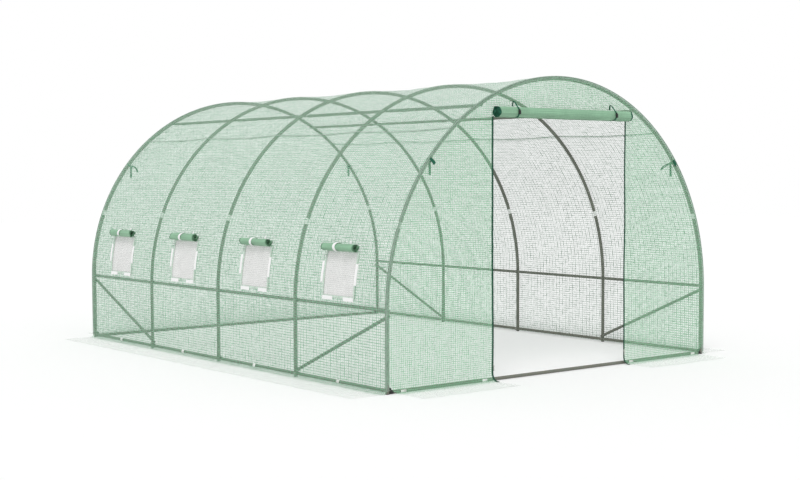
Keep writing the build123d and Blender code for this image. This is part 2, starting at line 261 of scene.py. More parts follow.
# %% Floor
FLOOR_GLOW = 0.2
bpy.ops.mesh.primitive_plane_add(size=60, location=(0, 0, -0.0005))
floor = bpy.context.object
floor.name = "studio_floor"
floor_paint, tree, shader = new_material(
    "floor paint", specular=0.1, Roughness=0.9, Base_Color=(0.84, 0.84, 0.84, 1),
    Emission_Color=(1, 1, 1, 1))
feed(tree, shader, Emission_Strength=times(tree, seen_directly(tree), FLOOR_GLOW))
floor.data.materials.append(floor_paint)
print("lit by", [lamp.name, world.name])

# %% [markdown]
# ## Shared effects
# *Woven threads* draws the open grid of tapes that strengthens the cover. A tiled picture of cloth
# could do it, but it blurs close up and shows where it repeats. Sums on the cloth's own UV map,
# which is in metres, stay sharp and give a mask that is 1 on a thread. *Cloudiness* is a soft
# noise that stops a surface from being one flat colour, and *ground dust* gathers it near the
# ground, where rain splashes soil on everything.

# %% Group: woven threads
threads, given, result = node_group(
    "woven threads",
    {"Place": "Vector", "Upright pitch": 0.0145, "Level pitch": 0.0130, "Upright share": 0.34,
     "Level share": 0.38, "Softness": 0.06, "Wander": 0.0003, "Unevenness": 0.6,
     "Speckle": 0.12, "Alternate": 0.0},
    {"Mask": 0.0, "Crossing": 0.0})
drift = sums(threads, "SUBTRACT", noise(threads, given["Place"], 9.0, 1.0, "Color"),
             (0.5, 0.5, 0.5), kind="ShaderNodeVectorMath")
moved = sums(threads, "MULTIPLY_ADD", drift, given["Wander"], given["Place"],
             kind="ShaderNodeVectorMath")
axes = node(threads, "ShaderNodeSeparateXYZ", Vector=moved)
lines = []
for axis, other, set_name in (("X", "Y", "Upright"), ("Y", "X", "Level")):
    half_thread = times(threads, given[set_name + " share"], 0.5)
    inner = sums(threads, "SUBTRACT", half_thread, given["Softness"])
    cell = sums(threads, "DIVIDE", axes[axis], given[set_name + " pitch"])
    line = remap(threads, sums(threads, "PINGPONG", cell, 0.5), half_thread, inner, 0.0, 1.0,
                 "SMOOTHSTEP")
    # each thread has its own strength, which changes every few centimetres along its run
    number = sums(threads, "FLOOR", sums(threads, "ADD", cell, 0.5))
    spot = node(threads, "ShaderNodeCombineXYZ", X=times(threads, number, 3.7),
                Y=times(threads, axes[other], 20.0))
    slub = remap(threads, noise(threads, spot[0], 1.0, 3.0), 0.36, 0.64, 1.0, 0.0)
    line = weakened(threads, line, times(threads, slub, given["Unevenness"]))
    if set_name == "Upright":
        odd = sums(threads, "PINGPONG", number, 1.0)
        line = weakened(threads, line, times(threads, odd, given["Alternate"]))
    lines.append(line)
grain = remap(threads, noise(threads, given["Place"], 85.0, 1.0), 0.3, 0.7, -1.0, 1.0)
mask = sums(threads, "ADD", sums(threads, "MAXIMUM", *lines),
            times(threads, grain, given["Speckle"]))
feed(threads, result, Mask=remap(threads, mask, 0.0, 1.0, 0.0, 1.0),
     Crossing=times(threads, *lines))

# %% Groups: cloudiness, and dust near the ground
cloudiness, given, result = node_group(
    "cloudiness", {"Place": "Vector", "Scale": 3.0, "Low": 0.9, "High": 1.1}, {"Value": 0.0})
feed(cloudiness, result, Value=remap(
    cloudiness, noise(cloudiness, given["Place"], given["Scale"], 3.0), 0.3, 0.7,
    given["Low"], given["High"]))


def clouds(tree, place, scale, low, high):
    return use_group(tree, cloudiness, Place=place, Scale=scale, Low=low, High=high)["Value"]


dust, given, result = node_group(
    "ground dust", {"Place": "Vector", "Reach": 0.18, "Amount": 0.3}, {"Mask": 0.0})
axes = node(dust, "ShaderNodeSeparateXYZ", Vector=given["Place"])
nearness = remap(dust, axes["Z"], 0.0, given["Reach"], 1.0, 0.0, "SMOOTHSTEP")
patches = remap(dust, noise(dust, given["Place"], 26.0, 4.0), 0.4, 0.65, 0.0, 1.0)
feed(dust, result, Mask=times(dust, times(dust, nearness, patches), given["Amount"]))

# %% [markdown]
# ## Cover cloth
# Greenhouse cloth is a clear green film laid over a grid of flat tapes about a centimetre apart.
# The tapes could be real strips, but they would need more faces than all the rest together. The
# film lets most of the light through and the tapes stop most of it, so one sheet is enough, with
# an alpha that follows the thread mask. The sides and the roof are cut from a cloth with a wider
# grid than the end walls have, and every second upright tape of it is weaker. The face that looks
# outward catches the daylight and shows mint green. The face that looks inward is given greyer
# film and tape colours: painted shade, for the same cloth seen from inside. A hem lets less light
# through. Cloth on the ground is painted paler and made clearer: painted light, for the white
# floor lit through it. The mesh marks these places in its `layers` attribute and in an attribute
# for the painted paleness, and the folds in `fold`, which get a thin line of painted shade.

# %% Cover material
# the inside colours are painted shade: greyer copies of the film and tape colours for the face seen
# from inside
SHADED_INSIDE_FILM, SHADED_INSIDE_TAPE = srgb(232, 243, 235), srgb(148, 172, 156)
# a paler colour for cloth on the ground: painted light from the white floor under it
FLOOR_LIT_CLOTH = srgb(247, 251, 247)
# the fold colour is painted shade: a thin dark line along each crease
FOLD_SHADE_COLOUR, FOLD_WIDTH = srgb(96, 128, 108), 0.004
FILM_ALPHA = 0.14


def cloth_place(tree):
    return node(tree, "ShaderNodeUVMap", uv_map="cloth")[0]


def cover_material(name, film, tape, tape_alpha, **threading):
    made, tree, shader = new_material(name, specular=0.3)
    place = cloth_place(tree)
    weave = use_group(tree, threads, Place=place, **threading)
    mask = weave["Mask"]
    pale, layers, fold = (node(tree, "ShaderNodeAttribute", attribute_name=mark)["Fac"]
                          for mark in ("pale", "layers", "fold"))
    facing = node(tree, "ShaderNodeNewGeometry")
    # seen from behind, the cloth takes the greyer inside colours: painted shade
    colour = blend(tree, facing["Backfacing"], blend(tree, mask, film, tape),
                   blend(tree, mask, SHADED_INSIDE_FILM, SHADED_INSIDE_TAPE))
    # cloth on the ground is blended towards the paler colour: painted light
    colour = blend(tree, pale, colour, FLOOR_LIT_CLOTH)
    colour = tint(tree, colour, clouds(tree, place, 1.7, 0.97, 1.03))
    # a packing fold is drawn as a thin dark line of painted shade in its crease, where the cloth
    # also lets less light through
    crease = remap(tree, sums(tree, "ABSOLUTE", fold), FOLD_WIDTH, 0.0, 0.0, 1.0, "SMOOTHSTEP")
    colour = blend(tree, times(tree, crease, 0.45), colour, FOLD_SHADE_COLOUR)
    open_share = remap(tree, mask, 0.0, 1.0, 1 - FILM_ALPHA, 1 - tape_alpha)
    open_share = sums(tree, "POWER", open_share, layers)
    open_share = times(tree, open_share, remap(tree, crease, 0.0, 1.0, 1.0, 0.6))
    feed(tree, shader, Base_Color=colour, Alpha=sums(tree, "SUBTRACT", 1.0, open_share),
         Roughness=remap(tree, mask, 0.0, 1.0, 0.32, 0.5))
    roughen(tree, shader, sums(tree, "ADD", mask, weave["Crossing"]), strength=0.35,
            distance=0.0006)
    return made


end_cloth = cover_material(
    "cover cloth of the ends", film=srgb(186, 240, 202), tape=srgb(126, 188, 146), tape_alpha=0.90)
side_cloth = cover_material(
    "cover cloth of the sides", film=srgb(184, 232, 198), tape=srgb(118, 170, 138),
    tape_alpha=0.92, Upright_pitch=0.0190, Level_pitch=0.0175, Upright_share=0.45, Level_share=0.35,
    Alternate=0.5)

# %% [markdown]
# ## Helpers for cloth
# A cloth simulation could drape the sheets, but it would not come out at an exact size. So a sheet
# is a grid of points that follows a rule, with a UV map in metres that keeps its weave from
# stretching. `sheet_mesh` takes the grid as arrays, leaves out any cells marked as holes, and
# turns the faces outward.


# %% Sheet helpers
def new_object(name, mesh):
    made = bpy.data.objects.new(name, mesh)
    scene.collection.objects.link(made)
    return made


def finish_piece(piece, material, slot, *nodes):
    """The calls every piece ends with."""
    if material is not None:
        piece.data.materials.clear()
        piece.data.materials.append(material)
    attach(piece, "root")
    if nodes:
        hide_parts(*nodes)


def sheet_mesh(name, points, flat, holes=None, turn=False, **marks):
    """points is rows by columns by 3, and flat the same by 2, in metres of cloth.

    marks are the values of layers, of the painted paleness on the ground, and of folds that the
    cover's material reads.
    """
    rows, columns = points.shape[:2]
    index = np.arange(rows * columns).reshape(rows, columns)
    corners = np.stack([index[:-1, :-1], index[:-1, 1:], index[1:, 1:], index[1:, :-1]], axis=-1)
    faces = corners[np.ones((rows - 1, columns - 1), bool) if holes is None else ~holes]
    if turn:
        faces = faces[:, ::-1]
    used, faces = np.unique(faces, return_inverse=True)
    faces = faces.reshape(-1, 4)
    mesh = bpy.data.meshes.new(name)
    mesh.from_pydata(points.reshape(-1, 3)[used].tolist(), [], faces.tolist())
    uv = mesh.uv_layers.new(name="cloth")
    uv.data.foreach_set("uv", flat.reshape(-1, 2)[used][faces.ravel()].ravel())
    for label, usual in (("layers", 1.0), ("pale", 0.0), ("fold", 1.0)):
        mark = mesh.attributes.new(label, "FLOAT", "POINT")
        values = np.broadcast_to(marks.get(label, usual), (rows, columns)).ravel()
        mark.data.foreach_set("value", values[used])
    mesh.shade_smooth()
    return new_object(name, mesh)


# %% Waves, grid lines and the arch
RIPPLES = 10


def ripples(across, along, wave_across, wave_along, seed):
    """Soft waves of about these lengths, the same on every run, from -1 to 1 or so."""
    draw = np.random.default_rng(seed)
    total = np.zeros(np.broadcast(across, along).shape)
    for _ in range(RIPPLES):
        turn_across = draw.normal(0, 1) * math.tau / wave_across
        turn_along = draw.normal(0, 1) * math.tau / wave_along
        start = draw.uniform(0, math.tau)
        total = total + np.sin(turn_across * across + turn_along * along + start)
    return total / math.sqrt(RIPPLES)


def lines_between(breaks, step):
    """Grid lines that fall on every break and are about a step apart in between."""
    made = []
    for low, high in zip(breaks[:-1], breaks[1:]):
        count = max(1, math.ceil((high - low) / step - 1e-6))
        made += list(np.linspace(low, high, count, endpoint=False))
    return np.array(made + [breaks[-1]])


def smooth_step(value, low, high):
    t = np.clip((value - low) / (high - low), 0, 1)
    return t * t * (3 - 2 * t)


def run_along(path):
    """The distance from the start of a path to each of its points."""
    return np.concatenate([[0], np.cumsum(np.linalg.norm(np.diff(path, axis=0), axis=1))])


def on_arch(angle, y, radius):
    """Points above the springing line, with the angle counted up from the left side."""
    angle, y, radius = np.broadcast_arrays(angle, y, radius)
    return np.stack([-radius * np.cos(angle), y, spring_height + radius * np.sin(angle)], axis=-1)


def arch_out(angle):
    """The way out of the arch at an angle, or at each of several."""
    return np.stack([-np.cos(angle), 0 * angle, np.sin(angle)], axis=-1)


# %% [markdown]
# ## The shape of the cover
# Seen from the end, the cloth goes up the wall, over the arch, and down again. `side_profile`
# gives a place and its outward direction for each metre of cloth, counted from where the arch
# springs: up is positive, and below the wall the cloth turns outward and lies on the ground as a
# skirt. Between the hoops the cloth sags inward a little, most at the crown.

# %% Profile of a side
GROUND_TURN = 0.02          # radius of the turn from the wall to the skirt
GROUND_LIFT = 0.0012        # of the skirt, off the ground
END_GRIP = 0.06             # how far in from an end hoop the cloth is held still
# how far in the cloth hangs in the middle of a bay
FOOT_SAG = 0.004            # at the foot of a wall
WALL_SAG = 0.011            # how much more at the top of a wall
SEAM_SAG = 0.0155           # along the roof seams
ROOF_SAG = 0.016            # on the roof
wall_drop = spring_height - GROUND_TURN
ground_at = -(wall_drop + GROUND_TURN * math.pi / 2)
skirt_end_at = ground_at - (skirt_side - cloth_radius - GROUND_TURN)
seam_at = cloth_radius * seam_angle


def side_profile(t):
    """x, z and the outward direction on the left side, for an array of cloth lengths t."""
    angle = np.clip(t, 0, None) / cloth_radius
    bend = np.clip(-t - wall_drop, 0, -wall_drop - ground_at) / GROUND_TURN
    x = -cloth_radius * np.cos(angle) - GROUND_TURN * (1 - np.cos(bend))
    z = (spring_height + cloth_radius * np.sin(angle) - np.clip(-t, 0, wall_drop)
         - GROUND_TURN * np.sin(bend))
    out_x = np.where(bend > 0, -np.cos(bend), -np.cos(angle))
    out_z = np.where(bend > 0, np.sin(bend), np.sin(angle))
    return x - np.clip(ground_at - t, 0, None), z + GROUND_LIFT, out_x, out_z


def bay_sag(y):
    """0 at every hoop and 1 in the middle of a bay."""
    sag = np.zeros_like(y)
    for middle in bay_middles:
        w = np.clip((y - middle) / (bay_length / 2 - hoop_radius / 2), -1, 1)
        sag = np.maximum(sag, 1 - w * w)
    return sag


def wall_sag(t, y):
    """How far a side wall hangs in between the hoops."""
    return bay_sag(y) * (FOOT_SAG + WALL_SAG * smooth_step(t, -wall_drop, seam_at))


def end_hold(y):
    """0 at the end hoops and 1 away from them."""
    return smooth_step(np.abs(y), cloth_end, cloth_end - END_GRIP)


def creases(t, y, places, seed):
    """Packing folds along the tunnel: how deep each point lies, and its distance to a fold."""
    depth = np.zeros(np.broadcast(t, y).shape)
    nearest = np.ones_like(depth)
    for number, place in enumerate(places):
        bow = 0.012 * np.sin(y * (1.1 + 0.2 * number) + seed + number)
        strength = 0.6 + 0.4 * np.sin(y * 2.3 + 1.7 * number + seed)
        away = t - place - bow
        depth = depth + strength * np.exp(-((away / 0.012) ** 2))
        nearest = np.where(np.abs(away) < np.abs(nearest), away, nearest)
    return depth, nearest


# %% [markdown]
# ## Side walls with their skirts
# Each side is one sheet from the roof seam to the outer edge of the skirt. A Boolean could cut the
# windows, but it leaves long thin faces that shade badly. Here the grid lines fall on the window
# edges and on the hem, and the cells inside an opening are left out. The packing folds of a new
# cover never quite pull out, so a crease runs along each side just below the seam.

# %% Places of the windows
GRID_STEP = 0.022
HEM = 0.022
HEM_LAYERS = 1.5
SEAM_LAP = 0.014
EDGE = 0.001                # between the two grid lines at the edge of a second layer
SCREEN_RADIUS = 1.5005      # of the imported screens
SCREEN_MARGIN = 0.015       # of a screen beyond its opening
SCREEN_DEPTH = 0.0025       # of a screen behind the wall
window_low, window_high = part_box("window_screens")
window_half = round((window_high.y - window_low.y - bays_long) / 2 - SCREEN_MARGIN, 4)
window_sill, window_head = (
    cloth_radius * math.asin((edge.z - spring_height) / SCREEN_RADIUS) + inward
    for edge, inward in ((window_low, SCREEN_MARGIN), (window_high, -SCREEN_MARGIN)))
print("window half width", window_half, "from", window_sill, "to", window_head, "of cloth")


# %% Side walls
def side_wall(name, side, windows, seed):
    """side is -1 for the left and 1 for the right."""
    rows = lines_between(
        [skirt_end_at, skirt_end_at + HEM, skirt_end_at + HEM + EDGE, ground_at, -wall_drop,
         -wall_drop / 2, 0.0, window_sill, window_head, seam_at - SEAM_LAP,
         seam_at - SEAM_LAP + EDGE, seam_at], GRID_STEP)
    rows = np.unique(np.round(np.concatenate([rows, np.linspace(ground_at, -wall_drop, 8)]), 6))
    breaks = [-cloth_end]
    for middle in bay_middles:
        breaks += [middle - window_half, middle + window_half]
    columns = lines_between(breaks + [cloth_end], GRID_STEP)
    t, y = np.meshgrid(rows, columns, indexing="ij")
    x, z, out_x, out_z = side_profile(t)
    wave = 0.0022 * ripples(y, t, 0.30, 0.55, seed)
    low_folds = 0.0035 * ripples(y, t, 0.11, 0.9, seed + 1) * smooth_step(t, 0.1, -wall_drop + 0.05)
    depth, fold = creases(t, y, (seam_at - 0.012,), seed)
    fold[t < 0.3] = 1.0
    move = (wave + low_folds) * (0.35 + 0.65 * bay_sag(y)) - wall_sag(t, y) - 0.0025 * depth
    move = np.minimum(move * end_hold(y), 0.0035) * smooth_step(t, ground_at, -wall_drop + 0.05)
    on_ground = smooth_step(t, ground_at, ground_at - 0.05)
    lift = 0.0022 * (1.0 + ripples(y, t, 0.22, 0.35, seed + 2)) * on_ground
    edge_wave = 0.004 * ripples(y, 0 * t, 0.5, 1.0, seed + 3) * on_ground
    x = x + out_x * move + np.clip(edge_wave, -0.008, 0.0)
    z = z + out_z * move + np.clip(lift, 0, 0.009)
    points = np.stack([side * np.abs(x), y, z], axis=-1)
    layers = np.where(t <= skirt_end_at + HEM + 1e-5, HEM_LAYERS, 1.0) * (1 - 0.45 * on_ground)
    holes = np.zeros((len(rows) - 1, len(columns) - 1), bool)
    if windows:
        mid_t, mid_y = (rows[:-1] + rows[1:]) / 2, (columns[:-1] + columns[1:]) / 2
        tall = (mid_t > window_sill) & (mid_t < window_head)
        for middle in bay_middles:
            holes |= tall[:, None] & (np.abs(mid_y - middle) < window_half)[None, :]
    # cloth on the ground is marked for the paler colour, painted light from the floor under it, and
    # made clearer
    return sheet_mesh(name, points, np.stack([y, t], axis=-1), holes, turn=side < 0,
                      layers=layers, pale=on_ground, fold=fold)


side_length = seam_at - skirt_end_at
cloth_long = 2 * cloth_end
window_area = len(bay_middles) * 2 * window_half * (window_head - window_sill)
left_area = side_length * cloth_long - window_area
for side_name, side, windows, seed, area in (("left", -1, True, 3, left_area),
                                             ("right", 1, False, 11, None)):
    wall = side_wall(f"cover_side_{side_name}", side, windows, seed)
    finish_piece(wall, side_cloth, "cover_fabric", f"cover_{side_name}_wall", f"skirt_{side_name}")
print("side sheets", round(side_length, 3), "by", round(cloth_long, 3), "m")

# %% [markdown]
# ## Roof strip
# The roof is a separate width of cloth. It laps over the top of both walls, where two rows of
# stitching hold it. It could meet the walls edge to edge with a line painted on, but a real lap is
# a second layer, so this one is modelled a millimetre further out.

# %% Roof
ROOF_LIFT = 0.0011          # of the roof over the walls
roof_half = cloth_radius * (math.pi / 2 - seam_angle) + SEAM_LAP
rows = lines_between([-roof_half, -roof_half + SEAM_LAP, roof_half - SEAM_LAP, roof_half],
                     GRID_STEP)
columns = lines_between([-cloth_end, cloth_end], GRID_STEP)
t, y = np.meshgrid(rows, columns, indexing="ij")
wave = 0.0024 * ripples(y, t, 0.35, 0.5, 21)
depth, fold = creases(t, y, (-0.12, 0.07, 0.13, 0.86), 5)
move = wave * bay_sag(y) - bay_sag(y) * ROOF_SAG - 0.003 * depth
move = np.minimum(move * end_hold(y), 0.0)
points = on_arch(t / cloth_radius + math.pi / 2, y, cloth_radius + ROOF_LIFT + move)
roof = sheet_mesh("cover_top", points, np.stack([y, t], axis=-1), turn=True, fold=fold)
finish_piece(roof, side_cloth, "cover_fabric", "cover_roof")
print("roof strip", round(2 * roof_half, 3), "by", round(cloth_long, 3), "m")

# %% [markdown]
# ## End walls
# The door end has a panel each side of the doorway and a header above it; the far end is one plain
# panel. An end panel is a flat cut. Cells left out along the arch would give it a stepped rim, so
# every column of the grid runs from the ground up to the arch itself. Below the ground line they
# turn outward into a skirt, as the sides do. Near the free edge of the doorway nothing pins the
# cloth, so it leaves the ground in a wider bend there.

# %% Shape of an end wall
END_ROWS = 76
JAMB_TURN = 0.048           # radius of the turn to the skirt at the doorway
CORNER_NOTCH = 0.070        # cut away at the foot of each corner post
end_radius = cloth_radius - 0.0015      # the cloth of an end stops just inside the roof's
end_face = cloth_end - 0.0005
end_skirt = skirt_end - cloth_end
free_edges = {}


def arch_top(x):
    return spring_height + np.sqrt(np.clip(end_radius**2 - np.square(x), 0, None))


def end_columns(x_from, x_to):
    """Places across a panel, closer together where the arch falls steeply."""
    columns = lines_between([x_from, x_from + 0.02, x_to - 0.02, x_to], GRID_STEP)
    steep = end_radius * np.sin(np.linspace(-1, 1, 61) * math.pi / 2)
    steep = steep[(steep > x_from + 0.001) & (steep < x_to - 0.001) & (np.abs(steep) > 1.2)]
    return np.unique(np.round(np.concatenate([columns, steep]), 5))


def end_billow(x, z, free_edge, seed):
    """How far the cloth of an end stands out, between its held edges."""
    from_axis = np.where(z > spring_height, np.hypot(x, z - spring_height), np.abs(x))
    rim = smooth_step(end_radius - from_axis, 0.030, 0.11)
    if free_edge:
        rim = rim * (0.35 + 0.65 * smooth_step(np.abs(x) - door_half, 0.0, 0.15))
    billow = 0.006 * ripples(x, z, 0.7, 0.9, seed) - 0.004
    folds = 0.0045 * ripples(x, z, 0.10, 1.1, seed + 1) * smooth_step(z, 0.9, 0.1)
    return np.clip((billow + folds) * rim, -0.012, 0.008) * smooth_step(z, 0.0, 0.1)


def end_skirt_grid(columns, turn, seed):
    """The skirt and the turn up from it: height, distance out and cloth length."""
    run = end_skirt - turn
    hem_steps = np.array([1, 1 - HEM / end_skirt, 1 - (HEM + EDGE) / end_skirt])
    steps = np.concatenate([lines_between([0, 0.05, 0.12, 1], 0.09), hem_steps])
    steps = np.unique(steps)[::-1][:-1, None]
    skirt_out = turn + steps * run
    grid_x = np.broadcast_to(columns, skirt_out.shape)
    skirt_z = 0.002 * (1 + ripples(grid_x, skirt_out, 0.22, 0.3, seed + 2))
    skirt_z = np.clip(skirt_z, 0, 0.008) * smooth_step(steps, 0, 0.25)
    bend = np.linspace(math.pi / 2, 0, 8)[:-1, None]
    return (np.concatenate([skirt_z, turn * (1 - np.sin(bend))]),
            np.concatenate([skirt_out, turn * (1 - np.cos(bend))]),
            np.concatenate([turn * (1 - math.pi / 2) - steps * run, turn * (1 - bend)]))


# %% End walls
def end_sheet(name, front, x_from, x_to, z_from, free_edge, seed):
    """A flat panel of an end wall between two places across the tunnel."""
    columns = end_columns(x_from, x_to)
    turn = np.full(len(columns), GROUND_TURN)
    if free_edge:
        turn = turn + (JAMB_TURN - GROUND_TURN) * np.exp(-(np.abs(columns) - door_half) / 0.07)
    z_start = turn if z_from == 0 else np.full(len(columns), z_from)
    z = z_start + np.linspace(0, 1, END_ROWS)[:, None] * (arch_top(columns) - z_start)
    x = np.broadcast_to(columns, z.shape)
    outward, flat_v = end_billow(x, z, free_edge, seed), z
    pale, layers, holes = 0.0, 1.0, None
    if z_from == 0:
        skirt = end_skirt_grid(columns, turn, seed)
        z, outward, flat_v = (np.concatenate(pair) for pair in zip(skirt, (z, outward, flat_v)))
        x = np.broadcast_to(columns, z.shape)
        # the skirt is marked for the paler colour, painted light from the floor under it, and made
        # clearer
        pale = smooth_step(outward, 0.02, 0.09)
        in_hem = outward >= end_skirt - HEM - 1e-4
        layers = np.where(in_hem, HEM_LAYERS, 1.0) * (1 - 0.45 * pale)
        beside = end_radius - np.abs(x[1:, 1:] + x[1:, :-1]) / 2
        holes = (beside < CORNER_NOTCH) & (z[1:, 1:] < (CORNER_NOTCH - beside) * 1.1)
        holes |= (beside < 0.02) & (outward[1:, 1:] > 0.02)
    sign = -1 if front else 1
    points = np.stack([x, sign * (end_face + outward), z + GROUND_LIFT], axis=-1)
    if free_edge:
        free_edges[name] = points[:, -1] if x_to < 0 else points[:, 0]
    return sheet_mesh(name, points, np.stack([x, flat_v], axis=-1), holes, turn=not front,
                      layers=layers, pale=pale)


# name, at the door end, from and to across, foot, free edge, seed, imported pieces
panels = (
    ("cover_door_side_left", True, -end_radius, -door_half, 0, True, 31,
     ("cover_front_left", "skirt_front")),
    ("cover_door_side_right", True, door_half, end_radius, 0, True, 37,
     ("cover_front_right", "skirt_front")),
    ("cover_door_header", True, -door_half, door_half, door_top, False, 41,
     ("cover_front_header",)),
    ("cover_back_wall", False, -end_radius, end_radius, 0, False, 43,
     ("cover_back", "skirt_back")))
for name, front, x_from, x_to, z_from, free_edge, seed, nodes in panels:
    panel = end_sheet(name, front, x_from, x_to, z_from, free_edge, seed)
    finish_piece(panel, end_cloth, "cover_fabric", *nodes)
    skirt = end_skirt if z_from == 0 else 0
    tallest = float(arch_top(door_half if x_from * x_to > 0 else 0))
    flat = (x_to - x_from, tallest - z_from + skirt)
    heights = arch_top(np.linspace(x_from, x_to, 400)) - z_from + skirt
    area = min(float(np.mean(heights) * flat[0]), flat[0] * flat[1])
    print(name, "flat", [round(v, 3) for v in flat], "area", round(area, 3))

# %% [markdown]
# ## Bands and cords
# Seams, hems, ribbons and zips are flat tapes or round cords with real thickness. A curve with a
# bevel makes a tape too, but it twists of its own accord where the path turns. So each is a
# section carried along a path, where every point says which way is out, and several of them are
# joined into one piece.


# %% Band helpers
def unit(vectors):
    return vectors / np.linalg.norm(vectors, axis=-1, keepdims=True)


def swept(path, across, out, section, flat_across, closed=False):
    """Points, faces and cloth places of a section carried along a path.

    section gives how far each of its corners lies across and out.
    """
    section = np.array(section)
    count, sides = len(path), len(section)
    points = path[:, None] + across[:, None] * section[:, :1] + out[:, None] * section[:, 1:]
    faces = []
    for step in range(count if closed else count - 1):
        here, there = step * sides, (step + 1) % count * sides
        for side in range(sides):
            nxt = (side + 1) % sides
            faces.append((here + side, here + nxt, there + nxt, there + side))
    if not closed:
        last = (count - 1) * sides
        faces += [tuple(range(sides))[::-1], tuple(range(last, last + sides))]
    flat = np.stack([np.repeat(run_along(path), sides), np.tile(flat_across, count)], axis=1)
    return points.reshape(-1, 3), faces, flat


def band_mesh(path, out, width, thick, closed=False):
    """A flat tape along a path, lying on the side that out points to."""
    path, out = np.asarray(path, float), unit(np.asarray(out, float))
    if closed:
        along = np.roll(path, -1, axis=0) - np.roll(path, 1, axis=0)
    else:
        along = np.gradient(path, axis=0)
    across = unit(np.cross(unit(along), out))
    out = np.broadcast_to(out, path.shape)
    half = width / 2
    section = [(-half, 0), (half, 0), (half, thick), (-half, thick)]
    return swept(path, across, out, section, [0, width, width, 0], closed)


def cord_mesh(path, out, radius, sides=8):
    """A round cord along a path."""
    along = unit(np.gradient(path, axis=0))
    across = unit(np.cross(along, out))
    turn = np.linspace(0, math.tau, sides, endpoint=False)
    section = radius * np.stack([np.sin(turn), np.cos(turn)], axis=1)
    return swept(path, across, np.cross(across, along), section, turn * radius)


# %% Bands joined into one piece
def join_bands(name, bands):
    """One mesh object from several bands, with its normals made to point outward."""
    points, faces, flat = [], [], []
    for band_points, band_faces, band_flat in bands:
        start = sum(len(p) for p in points)
        points.append(band_points)
        faces += [tuple(start + corner for corner in face) for face in band_faces]
        flat.append(band_flat)
    mesh = bpy.data.meshes.new(name)
    mesh.from_pydata(np.concatenate(points).tolist(), [], faces)
    uv = mesh.uv_layers.new(name="cloth")
    corners = np.array([loop.vertex_index for loop in mesh.loops])
    uv.data.foreach_set("uv", np.concatenate(flat)[corners].ravel())
    made = bmesh.new()
    made.from_mesh(mesh)
    bmesh.ops.recalc_face_normals(made, faces=made.faces)
    made.to_mesh(mesh)
    made.free()
    print(name, "from", len(bands), "parts")
    return new_object(name, mesh)


# %% [markdown]
# ## Webbing, tape and thread
# The straps, ribbons and tapes are webbing, and the edge bindings are close to it. Each thread
# could be drawn, but tapes this narrow are never seen so near: a fine rib across the tape is
# enough to read as webbing, with a little wear where it is handled.

# %% Webbing material
def webbing(name, colour, rib_pitch, roughness=0.72, depth=0.2):
    made, tree, shader = new_material(name, specular=0.3, Roughness=roughness)
    place = cloth_place(tree)
    axes = node(tree, "ShaderNodeSeparateXYZ", Vector=place)
    rib = sums(tree, "PINGPONG", sums(tree, "DIVIDE", axes["X"], rib_pitch), 0.5)
    ribs = remap(tree, rib, 0.0, 0.5, 1 - depth, 1 + depth / 2)
    wear = clouds(tree, place, 40.0, 1 - depth * 0.9, 1 + depth * 0.75)
    feed(tree, shader, Base_Color=tint(tree, colour, times(tree, ribs, wear)))
    roughen(tree, shader, rib, strength=0.6, distance=0.0004)
    return made


dark_webbing = webbing("dark green webbing", srgb(30, 100, 74), rib_pitch=0.0024)
white_tape = webbing("white hook tape", srgb(255, 255, 255), rib_pitch=0.0016, depth=0.04)

# %% [markdown]
# ## Seams and hems
# Where the roof laps the walls the two cloths are sewn together, and the narrow binding tape with
# its two rows of thread shows as a thin line from one end to the other. The end walls are sewn to
# the sides round the whole arch: the seam is turned over a cord, so a pale rounded welt runs up
# each corner and over the top, with a hem on each side of it. The wide hem on the end wall lies
# right over the hoop. Lines of colour on the cloth could stand for all of these, but they would
# have no edge to catch the light, so each is a thin piece of its own. A hem is the same woven film
# folded double, so it lets less light through.

# %% Seam bindings
seam_steps = np.linspace(-cloth_end, cloth_end, 181)


def seam_line(angle, lift):
    """A line along the sagging roof at an angle, a little above the cloth."""
    sag = bay_sag(seam_steps) * SEAM_SAG * end_hold(seam_steps)
    return on_arch(angle, seam_steps, cloth_radius + lift - sag)


seam_angles = np.array([seam_angle, math.pi - seam_angle])
seams = join_bands("roof_seam_tapes", [
    band_mesh(seam_line(angle, lift=0.0024), arch_out(angle), width=0.006, thick=0.0006)
    for angle in seam_angles])
finish_piece(seams, webbing("seam tape", srgb(178, 202, 185), rib_pitch=0.003), "green_webbing")

# %% Corner welts and hems
LEG_POINTS = 17
HEM_THICK = 0.0008
leg_steps = np.linspace(0.02, spring_height, LEG_POINTS + 1)[:-1]
arch_steps = np.linspace(0, math.pi, 97)
welt_radius = cloth_radius + 0.0002
left_line = np.stack([0 * leg_steps - welt_radius, 0 * leg_steps, leg_steps], axis=-1)
corner_line = np.concatenate([left_line, on_arch(arch_steps, 0.0, welt_radius),
                              left_line[::-1] * [-1, 1, 1]])
corner_out = np.concatenate([np.tile([-1.0, 0, 0], (LEG_POINTS, 1)), arch_out(arch_steps),
                             np.tile([1.0, 0, 0], (LEG_POINTS, 1))])
welts, hems = [], []
for sign in (-1, 1):
    welts.append(cord_mesh(corner_line + [0, sign * end_face, 0] - corner_out * 0.001,
                           corner_out, radius=0.0032))
    hems.append(band_mesh(corner_line + [0, sign * (cloth_end - 0.007), 0]
                          + corner_out * 0.0006, corner_out, width=0.010, thick=HEM_THICK))
    hems.append(band_mesh(corner_line - corner_out * 0.0105 + [0, sign * (cloth_end + 0.0004), 0],
                          [0, sign, 0], width=0.018, thick=HEM_THICK))
corner_welts = join_bands("corner_welts", welts)
finish_piece(corner_welts, webbing("welt cloth", srgb(150, 174, 157), rib_pitch=0.003,
                                   roughness=0.5), "cover_fabric")

